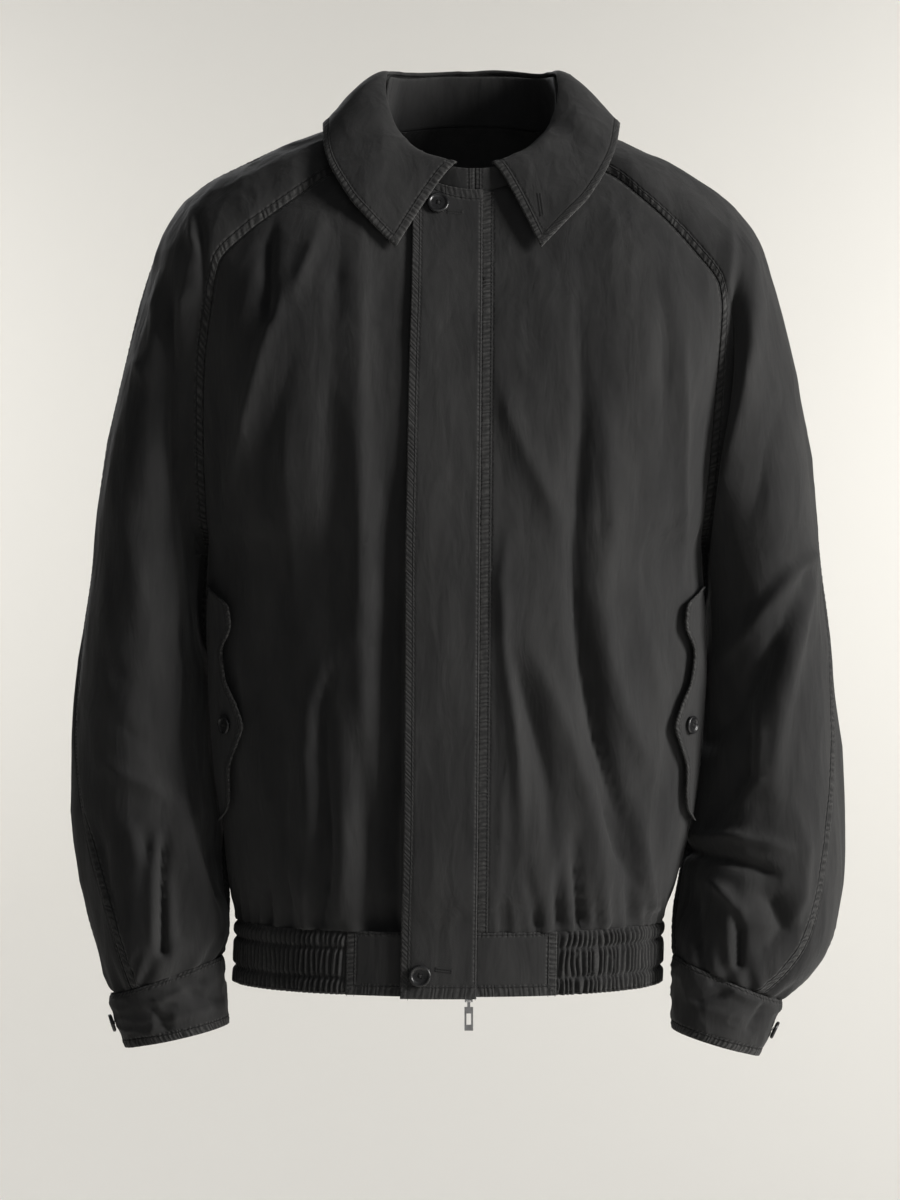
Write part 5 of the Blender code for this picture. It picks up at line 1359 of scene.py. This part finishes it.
grid, normals, wear = collar_stand()
seams = [("first", 0.0040, 0.6, FLY_PITCH), ("last", 0.0040, 0.6, FLY_PITCH)]
piece = cloth_piece("collar_stand_cloth", grid, normals, COLLAR_CLOTH, wear, seams)
sewn_in(piece, "collar_stand")
leaf_grid, leaf_normals, wear = collar_leaf()
corner = (0.0, LEAF_STITCH_INSET)
stitched_pieces.append((leaf_grid, leaf_normals, [
    ("bottom", LEAF_STITCH_INSET, LEAF_STITCH_INSET, LEAF_STITCH_INSET),
    ("first", LEAF_STITCH_INSET, *corner), ("last", LEAF_STITCH_INSET, *corner),
]))
seams = [(edge, LEAF_STITCH_INSET, 0.7, COLLAR_PITCH) for edge in ("bottom", "first", "last")]
piece = cloth_piece("collar_leaf_cloth", leaf_grid, leaf_normals, COLLAR_CLOTH, wear, seams)
sewn_in(piece, "collar_leaf")

# The placket: a doubled fly sewn to the left front that covers the zip. Its free edge lies on the right
# front, and it buttons at the neck and at the hem.
PLACKET_FREE_EDGE = -0.0485
PLACKET_SEAM = 0.0065
PLACKET_LIFT = 0.0007
PLACKET_HEM_ROW = 17.03
PLACKET_ROWS = {"last": (0.0062, 0.9, 0.6), "top": (0.0078, 0.7, 0.5), "bottom": (0.0094, 0.7, 0.5)}


def placket():
    rows = even_rows(FRONT, "right", 0, WAIST_ROW, 0.0020)
    rows = np.concatenate([rows, np.linspace(WAIST_ROW, PLACKET_HEM_ROW, 26)[1:]])
    distances = np.linspace(PLACKET_SEAM, PLACKET_FREE_EDGE, 44)
    split = distances > 0
    grid = []
    for row in rows:
        left = front_at("left", row, distances[split])
        right = front_at("right", row, -distances[~split])
        grid.append(np.concatenate([left, right]))
    grid = np.array(grid)
    grid[:, :, 2] -= 0.0015 * np.clip((rows[:, None] - WAIST_ROW) / (PLACKET_HEM_ROW - WAIST_ROW), 0, 1)
    normals = surface_normals(grid, 1)
    free = (PLACKET_SEAM - distances) / (PLACKET_SEAM - PLACKET_FREE_EDGE)
    lift = PLACKET_LIFT + DOUBLE_CLOTH + 0.0015 * free[None, :] ** 2
    edges = edge_distances(grid)
    lift, wear = stitched_edges(edges, lift, PLACKET_ROWS, 141)
    ripple = unevenness(grid, (0.03, 0.03, 0.045), 145) * 0.0010 * free[None, :]
    lift = lift + ripple + 0.5 * drape_noise(grid, 147) + seam_dip(edges["first"][0], 0.0014, 0.0016)
    return grid + normals * lift[..., None], normals, wear


placket_grid, placket_normals, wear = placket()
rows = sewn_rows(PLACKET_ROWS)
rows.insert(2, ("top", EDGE_ROW))
stitched_pieces.append((placket_grid, placket_normals, rows + [("first", CLOSE_ROW)]))
seams = drawn_seams(PLACKET_ROWS) + [("first", CLOSE_ROW, 0.7, FLY_PITCH)]
piece = cloth_piece("placket_cloth", placket_grid, placket_normals, DOUBLE_CLOTH, wear, seams)
sewn_in(piece, "placket")

# The slanted side pockets: a narrow stitched welt, and in front of it a doubled scalloped flap that is sewn
# down behind, stands a little free in front and buttons at its widest place.
FLAP_TOP_Z = -0.377
FLAP_BOTTOM_Z = -0.562
FLAP_ATTACH = 0.046
FLAP_EDGE = table(
    ("share", "width"),
    [(0.0, 0.012), (0.08, 0.044), (0.15, 0.047), (0.27, 0.036), (0.38, 0.039), (0.50, 0.051), (0.58, 0.056),
     (0.66, 0.049), (0.76, 0.038), (0.87, 0.034), (0.94, 0.028), (1.0, 0.010)],
)
FLAP_ROW = 0.0048
WELT_WIDTH = 0.009
WELT_ROW = 0.0018


def side_point(side, row, arc):
    """Points of a front at distances along its row from the side seam."""
    dense = np.linspace(1, 0, 400)
    points = body_row(FRONT, side, row, dense)[0]
    return placed_at(arc, run_length(points), points)


def pocket_levels(count):
    shares = np.linspace(0, 1, count)
    levels = FLAP_TOP_Z + (FLAP_BOTTOM_Z - FLAP_TOP_Z) * shares
    return shares, np.interp(-levels, -FRONT["edge_z"], np.arange(HEM_ROW + 1))


def pocket_flap(side):
    shares, rows = pocket_levels(110)
    widths = smooth(FLAP_EDGE["share"], FLAP_EDGE["width"], shares)
    across = np.linspace(0, 1, 40)
    grid = np.array([side_point(side, row, FLAP_ATTACH + width * across) for row, width in zip(rows, widths)])
    normals = surface_normals(grid, SIDES[side])
    edges = edge_distances(grid)
    away, along = nearest_edge(edges, ("last", "top", "bottom"))
    seed = 151 + (side == "left")
    raised, wear = stitched_edge(away, along, FLAP_ROW, seed, 0.8)
    lift = DOUBLE_CLOTH + 0.0016 + 0.0050 * across[None, :] ** 1.5 + raised + 0.5 * drape_noise(grid, seed)
    return grid + normals * lift[..., None], normals, wear


def pocket_welt(side):
    rows = pocket_levels(100)[1]
    arcs = FLAP_ATTACH - PIECE_GAP - WELT_WIDTH * np.linspace(0, 1, 14)
    grid = np.array([side_point(side, row, arcs) for row in rows])
    normals = surface_normals(grid, -SIDES[side])
    edges = edge_distances(grid)
    away, along = nearest_edge(edges, ("first", "last", "top", "bottom"))
    raised, wear = stitched_edge(away, along, WELT_ROW, 155, 0.9)
    return grid + normals * (CLOTH + 0.0008 + raised)[..., None], normals, wear


flap_grids = {}
for side in SIDES:
    grid, normals, wear = pocket_flap(side)
    flap_grids[side] = grid, normals
    stitched_pieces.append((grid, normals, [("last", FLAP_ROW), ("first", EDGE_ROW)]))
    drawn = {"last": 0.9, "top": 0.7, "bottom": 0.7}
    seams = [(edge, FLAP_ROW, strength, FLY_PITCH) for edge, strength in drawn.items()]
    piece = cloth_piece("pocket_flap_%s_cloth" % side, grid, normals, DOUBLE_CLOTH, wear, seams)
    sewn_in(piece, "pocket_flap_" + side)
    grid, normals, wear = pocket_welt(side)
    stitched_pieces.append((grid, normals, [(edge, WELT_ROW) for edge in ("first", "last")]))
    seams = [(edge, WELT_ROW, 0.9, FLY_PITCH) for edge in ("first", "last")]
    piece = cloth_piece("pocket_welt_%s_cloth" % side, grid, normals, CLOTH, wear, seams)
    sewn_in(piece, "pocket_welt_" + side)

# The zip: two woven tapes with metal teeth under the placket, and a lower slider whose pull tab hangs below
# the hem. The tapes are sewn in along both front edges.
ZIP_THICKNESS = 0.0012
SLIDER_TOP_Z = -0.6845
TOOTH_PITCH = 0.0021
TAPE_DARK = (0.010, 0.010, 0.011, 1.0)
TAPE_LIGHT = (0.020, 0.020, 0.021, 1.0)
METAL_CLEAN = (0.60, 0.60, 0.61, 1.0)
METAL_DULL = (0.33, 0.33, 0.33, 1.0)


def zip_metal():
    """Plated metal with a brushed, slightly dulled face."""
    material, tree, shader, place = material_with("zip_metal")
    stretch = add(tree, "ShaderNodeMapping", {"Vector": place, "Scale": (1400, 1400, 160)}).outputs["Vector"]
    grain = noise(tree, stretch, 1, detail=3)
    join(tree, mixed(tree, noise(tree, place, 260), METAL_DULL, METAL_CLEAN), shader["Base Color"])
    join(tree, ranged(tree, grain, 0.22, 0.45), shader["Roughness"])
    join(tree, bumped(tree, grain, 0.00004), shader["Normal"])
    shader["Metallic"].default_value = 1.0
    return material


metal = zip_metal()
tape_cloth = cotton("zip_tape_weave", TAPE_DARK, TAPE_LIGHT, TAPE_LIGHT, 0.00025)


def zip_tape(side):
    last = np.interp(SLIDER_TOP_Z + 0.001, FRONT["centre_z"][::-1], np.arange(HEM_ROW, -1, -1))
    rows = np.concatenate([even_rows(FRONT, side, 0, WAIST_ROW, 0.006), np.linspace(WAIST_ROW, last, 8)[1:]])
    out = np.linspace(0.00015, ZIP_HALF_WIDTH - 0.0002, 6)
    grid = np.array([front_at(side, row, out) for row in rows])
    return grid, surface_normals(grid, -SIDES[side])


def new_tree(name, sockets):
    """A Geometry Nodes tree with a geometry input and output and named number inputs."""
    tree = bpy.data.node_groups.new(name, "GeometryNodeTree")
    tree.interface.new_socket("Geometry", in_out="INPUT", socket_type="NodeSocketGeometry")
    made = {}
    for socket, value in sockets.items():
        entry = tree.interface.new_socket(socket, in_out="INPUT", socket_type="NodeSocketFloat")
        entry.default_value = value
        made[socket] = entry.identifier
    tree.interface.new_socket("Geometry", in_out="OUTPUT", socket_type="NodeSocketGeometry")
    return tree, tree.nodes.new("NodeGroupInput").outputs, made


def end_tree(tree, shape, material):
    """Makes the copies in a tree real, gives them their material and puts them out."""
    real = add(tree, "GeometryNodeRealizeInstances", {"Geometry": shape}).outputs["Geometry"]
    dressed = add(tree, "GeometryNodeSetMaterial", {"Geometry": real, "Material": material})
    add(tree, "NodeGroupOutput", {"Geometry": dressed.outputs["Geometry"]})


def along_path_tree(name, material, lathe_sides):
    """Sets one small bar after another along every path, each turned along the path."""
    defaults = {"Pitch": 0.003, "Length": 0.002, "Radius": 0.0002, "Wobble": 0.1, "Turn": 0.0}
    tree, given, sockets = new_tree(name, defaults)
    spaced = {"Curve": given["Geometry"], "Length": given["Pitch"]}
    resampled = add(tree, "GeometryNodeResampleCurve", spaced, mode="LENGTH").outputs["Curve"]
    points = add(tree, "GeometryNodeCurveToPoints", {"Curve": resampled}, mode="EVALUATED").outputs
    low = worked(tree, "MULTIPLY", given["Wobble"], -1)
    limits = {"Seed": 7, 2: low, 3: given["Wobble"]}
    wobble = add(tree, "FunctionNodeRandomValue", limits, data_type="FLOAT").outputs[1]
    spin = add(tree, "ShaderNodeCombineXYZ", {"X": worked(tree, "ADD", wobble, given["Turn"])}).outputs[0]
    turn_by = add(tree, "FunctionNodeEulerToRotation", {0: spin}).outputs[0]
    turning = {"Rotation": points["Rotation"], "Rotate By": turn_by}
    turned = add(tree, "FunctionNodeRotateRotation", turning, rotation_space="LOCAL").outputs["Rotation"]
    half = worked(tree, "MULTIPLY", given["Length"], 0.5)
    size = {"X": given["Radius"], "Y": given["Radius"], "Z": half}
    scale = add(tree, "ShaderNodeCombineXYZ", size).outputs[0]
    bar = add(tree, "GeometryNodeMeshUVSphere", {"Segments": lathe_sides, "Rings": 4, "Radius": 1.0})
    placed = {"Points": points["Points"], "Instance": bar.outputs["Mesh"], "Rotation": turned, "Scale": scale}
    end_tree(tree, add(tree, "GeometryNodeInstanceOnPoints", placed).outputs["Instances"], material)
    return tree, sockets


def paths_object(name, lines):
    """A curve object with one open straight-segment path for each line of points."""
    data = bpy.data.curves.new(name, "CURVE")
    data.dimensions = "3D"
    for line in lines:
        spline = data.splines.new("POLY")
        spline.points.add(len(line) - 1)
        spline.points.foreach_set("co", np.concatenate([line, np.ones((len(line), 1))], axis=1).ravel())
    return linked(name, data)


def made_plain(source, name, tree, sockets, values):
    """Runs a tree on an object and keeps the result as a plain mesh."""
    modifier = source.modifiers.new("made", "NODES")
    modifier.node_group = tree
    for socket, value in values.items():
        modifier[sockets[socket]] = value
    evaluated = source.evaluated_get(bpy.context.evaluated_depsgraph_get())
    mesh = bpy.data.meshes.new_from_object(evaluated)
    mesh.name = name
    bpy.data.objects.remove(source, do_unlink=True)
    return linked(name, mesh)


teeth_tree, teeth_sockets = along_path_tree("zip_teeth_tree", metal, 6)
for side in SIDES:
    grid, normals = zip_tape(side)
    unworn = np.zeros(grid.shape[:2])
    tape = cloth_piece("zip_tape_%s_cloth" % side, grid, normals, ZIP_THICKNESS, unworn, material=tape_cloth)
    sewn_in(tape, "zip_tape_" + side)
    line = grid[:, 0] + normals[:, 0] * 0.0002 + np.array([SIDES[side] * 0.0007, 0, 0])
    offset = 0 if side == "right" else TOOTH_PITCH / 2
    line = np.concatenate([line[:1] - np.array([0, 0, offset]), line[1:]])
    tooth = {"Pitch": TOOTH_PITCH, "Length": 0.0009, "Radius": 0.0011, "Wobble": 0.02}
    teeth_path = paths_object("teeth_path", [line])
    teeth = made_plain(teeth_path, "zip_teeth_" + side, teeth_tree, teeth_sockets, tooth)
    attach(teeth, "jacket")

# The slider and its pull tab keep the shape that they were built in, and take the zip's metal.
for name in ("zip_slider", "pull_tab"):
    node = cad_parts[name]
    for slot in node.material_slots:
        slot.material = metal

# The buttons: turned four-hole buttons of black resin, sewn on with black thread. Two close the placket, one
# closes each pocket flap and one each cuff. The placket's two work through bound buttonholes, and the left
# point of the collar has a spare buttonhole.
BUTTON_RADIUS = 0.0088
SMALL_BUTTON_RADIUS = 0.0075
BUTTON_THICKNESS = 0.0030
BUTTON_SHANK = 0.0009
HOLE_RADIUS = 0.00085
HOLE_OFFSET = 0.00165
HOLE_TURNS = [math.radians(30 + 90 * k) for k in range(4)]
SHANK_RING_RADIUS = 0.0013
RESIN_DARK = (0.0075, 0.0075, 0.0080, 1.0)
RESIN_LIGHT = (0.020, 0.020, 0.021, 1.0)
THREAD_COLOUR = (0.022, 0.022, 0.022, 1.0)
THREAD_RADIUS = 0.00028


def button_resin():
    """Black resin with a faint swirl and a soft polish."""
    material, tree, shader, place = material_with("button_resin")
    swirl = noise(tree, place, 220, detail=3, distortion=1.6)
    join(tree, mixed(tree, swirl, RESIN_DARK, RESIN_LIGHT), shader["Base Color"])
    join(tree, ranged(tree, swirl, 0.20, 0.38), shader["Roughness"])
    return material


def sewing_thread():
    """Matt twisted thread."""
    material, tree, shader, place = material_with("sewing_thread")
    join(tree, mixed(tree, noise(tree, place, 900), CLOTH_DARK, THREAD_COLOUR), shader["Base Color"])
    shader["Roughness"].default_value = 0.8
    return material


resin = button_resin()
thread = sewing_thread()


def thread_tree():
    """Turns every path into a round thread."""
    tree, given, sockets = new_tree("thread_tree", {"Radius": THREAD_RADIUS})
    ring = add(tree, "GeometryNodeCurvePrimitiveCircle", {"Resolution": 6, "Radius": given["Radius"]})
    swept = {"Curve": given["Geometry"], "Profile Curve": ring.outputs["Curve"], "Fill Caps": True}
    end_tree(tree, add(tree, "GeometryNodeCurveToMesh", swept).outputs["Mesh"], thread)
    return tree, sockets


THREADS, THREAD_SOCKETS = thread_tree()


def turned_mesh(name, profile, steps):
    """A closed solid of revolution about Z from (radius, height) points that start and end on the axis."""
    mesh = bpy.data.meshes.new(name)
    shape = bmesh.new()
    points = [shape.verts.new((radius, 0, height)) for radius, height in profile]
    edges = [shape.edges.new(pair) for pair in zip(points, points[1:])]
    bmesh.ops.spin(shape, geom=points + edges, cent=(0, 0, 0), axis=(0, 0, 1), angle=math.tau, steps=steps)
    bmesh.ops.remove_doubles(shape, verts=shape.verts, dist=0.00002)
    bmesh.ops.recalc_face_normals(shape, faces=shape.faces)
    shape.to_mesh(mesh)
    shape.free()
    return mesh


def button_blank(radius):
    """The button's disc with a rolled rim, a dished face and four sewing holes, standing on Z = 0."""
    top = BUTTON_SHANK + BUTTON_THICKNESS
    dish = top - 0.0010
    inner_face = ((0, dish), (0.56, dish), (0.64, dish + 0.0001), (0.70, dish + 0.0004))
    rim = ((0.75, top - 0.0002), (0.80, top), (0.87, top), (0.93, top - 0.0002), (0.98, top - 0.0006))
    outside = ((1.0, top - 0.0012), (0.99, top - 0.0018), (0.92, BUTTON_SHANK + 0.0004))
    under = ((0.70, BUTTON_SHANK), (0, BUTTON_SHANK))
    profile = [(radius * share, height) for share, height in inner_face + rim + outside + under]
    blank = linked("button_blank", turned_mesh("button_blank", profile, 40))
    drill = bmesh.new()
    for turn in HOLE_TURNS:
        place = Matrix.Translation((HOLE_OFFSET * math.cos(turn), HOLE_OFFSET * math.sin(turn), top / 2))
        bmesh.ops.create_cone(drill, cap_ends=True, segments=12, radius1=HOLE_RADIUS, radius2=HOLE_RADIUS,
                              depth=0.01, matrix=place)
    drill_mesh = bpy.data.meshes.new("drill")
    drill.to_mesh(drill_mesh)
    drill.free()
    cutter = linked("drill", drill_mesh)
    cut = blank.modifiers.new("holes", "BOOLEAN")
    cut.object = cutter
    cut.solver = "EXACT"
    mesh = bpy.data.meshes.new_from_object(blank.evaluated_get(bpy.context.evaluated_depsgraph_get()))
    for spare in (blank, cutter):
        bpy.data.objects.remove(spare, do_unlink=True)
    mesh.materials.clear()
    mesh.materials.append(resin)
    mesh.shade_smooth()
    mesh.set_sharp_from_angle(angle=math.radians(48))
    return mesh


def settled_place(node_name, grid, normals):
    """Where a button sits: under its built place, on the finished cloth, facing as the cloth does."""
    corners = np.array([tuple(v.co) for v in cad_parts[node_name].data.vertices])
    centre = (corners.min(axis=0) + corners.max(axis=0)) / 2
    flat = grid.reshape(-1, 3)
    away = np.linalg.norm(flat - centre, axis=1)
    near = np.argsort(away)[:60]
    normal = normals.reshape(-1, 3)[near].mean(axis=0)
    normal /= np.linalg.norm(normal)
    depth = (flat[near] - centre) @ normal
    return centre + normal * np.percentile(depth, 70), normal


def sew_button(name, node_name, radius, grid, normals):
    place, normal = settled_place(node_name, grid, normals)
    facing = Vector(normal).to_track_quat("Z", "Y").to_matrix().to_4x4()
    seat = Matrix.Translation(place) @ facing
    mesh = button_blank(radius)
    mesh.transform(seat)
    button = linked(name, mesh)
    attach(button, "jacket")
    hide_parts(node_name)
    height = BUTTON_SHANK + BUTTON_THICKNESS - 0.0009
    lines = []
    for k, turn in enumerate(HOLE_TURNS[:2]):
        reach = np.array([math.cos(turn), math.sin(turn)]) * HOLE_OFFSET
        for nudge in (-0.00022, 0.00022):
            off = np.array([-reach[1], reach[0]]) / HOLE_OFFSET * nudge
            crest = 0.0004 + 0.0002 * k
            rises = ((-1.0, -0.0012), (-0.75, 0.0002), (0.0, crest), (0.75, 0.0002), (1.0, -0.0012))
            line = [seat @ Vector((*(reach * t + off), height + rise)) for t, rise in rises]
            lines.append(np.array([tuple(p) for p in line]))
    shank_ring = []
    for turn in np.linspace(0, math.tau, 13):
        across, along = SHANK_RING_RADIUS * math.cos(turn), SHANK_RING_RADIUS * math.sin(turn)
        shank_ring.append(tuple(seat @ Vector((across, along, 0.0005))))
    lines.append(np.array(shank_ring))
    return lines


def surface_at(grid, normals, x, z):
    """The place on the face of a front piece at a sideways place and height, and the normal there."""
    flat, facing = grid.reshape(-1, 3), normals.reshape(-1, 3)
    away = np.hypot(flat[:, 0] - x, flat[:, 2] - z) + np.where(facing[:, 1] < 0, 0, 1.0)
    near = np.argsort(away)[:4]
    weight = 1 / (away[near] + 1e-5)
    weight /= weight.sum()
    normal = (facing[near] * weight[:, None]).sum(axis=0)
    place = np.array([x, (flat[near, 1] * weight).sum(), z])
    return place, normal / np.linalg.norm(normal)


def bound_buttonhole(grid, normals, start, end):
    """A slit bound with close stitches on both sides and a bar at its far end, as short lines of thread."""
    lines = []
    count = int(math.dist(start, end) / 0.00062)
    start, way = np.array(start), np.array(end) - start
    spots = [surface_at(grid, normals, *(start + way * t)) for t in np.linspace(0, 1, count)]
    way = spots[-1][0] - spots[0][0]
    way /= np.linalg.norm(way)
    for k, (place, normal) in enumerate(spots):
        across = np.cross(normal, way)
        for sign in (-1, 1):
            inner = place + across * sign * 0.00025 + normal * 0.0001
            crest = place + across * sign * 0.0010 + normal * 0.00055
            outer = place + across * sign * (0.0017 + 0.00015 * (k % 2)) + normal * 0.0001
            lines.append(np.array([inner, crest, outer]))
    place, normal = spots[-1]
    across = np.cross(normal, way)
    for step in (0.0004, 0.0010):
        bar = []
        for t in (-0.0017, 0, 0.0017):
            bar.append(place + across * t + way * step + normal * (0.0007 - 0.2 * abs(t)))
        lines.append(np.array(bar))
    return lines


thread_lines = []
for name, node_name, radius, (grid, normals) in (
    ("neck_button_turned", "top_button", BUTTON_RADIUS, (placket_grid, placket_normals)),
    ("hem_button_turned", "hem_button", BUTTON_RADIUS, (placket_grid, placket_normals)),
    ("flap_button_right_turned", "flap_button_right", SMALL_BUTTON_RADIUS, flap_grids["right"]),
    ("flap_button_left_turned", "flap_button_left", SMALL_BUTTON_RADIUS, flap_grids["left"]),
    ("cuff_button_right_turned", "cuff_button_right", SMALL_BUTTON_RADIUS, cuff_grids["right"]),
    ("cuff_button_left_turned", "cuff_button_left", SMALL_BUTTON_RADIUS, cuff_grids["left"]),
):
    thread_lines += sew_button(name, node_name, radius, grid, normals)
PLACKET_BUTTONHOLES = (((-0.0075, -0.0765), (0.0035, -0.0770)), ((-0.0170, -0.6740), (-0.0050, -0.6755)))
COLLAR_BUTTONHOLE = ((0.0648, -0.0625), (0.0671, -0.0800))
for start, end in PLACKET_BUTTONHOLES:
    thread_lines += bound_buttonhole(placket_grid, placket_normals, start, end)
thread_lines += bound_buttonhole(leaf_grid, leaf_normals, *COLLAR_BUTTONHOLE)
sewn = made_plain(paths_object("thread_paths", thread_lines), "button_threads", THREADS, THREAD_SOCKETS, {})
sewn.data.shade_smooth()
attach(sewn, "jacket")

# The topstitching: single and twin rows of black thread, three stitches to a centimetre, along every edge
# and seam. Each stitch is a small bar of its own.
STITCH_PITCH = 0.0031
STITCH_LENGTH = 0.0025
STITCH_RADIUS = 0.00022


def stitch_line(grid, normals, edge, inset, skip=(0.0, 0.0)):
    """A row of stitching at a distance inside one edge of a piece. skip is what its two ends leave out."""
    away, along = edge_distances(grid)[edge]
    if edge in ("top", "bottom"):
        away, along, grid, normals = away.T, along.T, grid.transpose(1, 0, 2), normals.transpose(1, 0, 2)
    if edge in ("last", "bottom"):
        away, along, grid, normals = away[:, ::-1], along[:, ::-1], grid[:, ::-1], normals[:, ::-1]
    line = []
    for k in range(len(grid)):
        if skip[0] <= along[k, 0] <= along[-1, 0] - skip[1] and away[k].max() > inset:
            place = [np.interp(inset, away[k], grid[k, :, axis]) for axis in range(3)]
            facing = [np.interp(inset, away[k], normals[k, :, axis]) for axis in range(3)]
            line.append(np.array(place) + np.array(facing) * STITCH_RADIUS * 0.4)
    return np.array(line)


stitch_lines = []
for piece_grid, piece_normals, rows in stitched_pieces:
    for edge, inset, *skip in rows:
        stitch_lines.append(stitch_line(piece_grid, piece_normals, edge, inset, skip or (0.0, 0.0)))
stitch_lines += shirring_lines
stitch_tree, stitch_sockets = along_path_tree("stitch_tree", thread, 4)
stitch = {"Pitch": STITCH_PITCH, "Length": STITCH_LENGTH, "Radius": STITCH_RADIUS, "Wobble": 0.06}
stitch_paths = paths_object("stitch_paths", stitch_lines)
stitches = made_plain(stitch_paths, "topstitching", stitch_tree, stitch_sockets, stitch)
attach(stitches, "jacket")
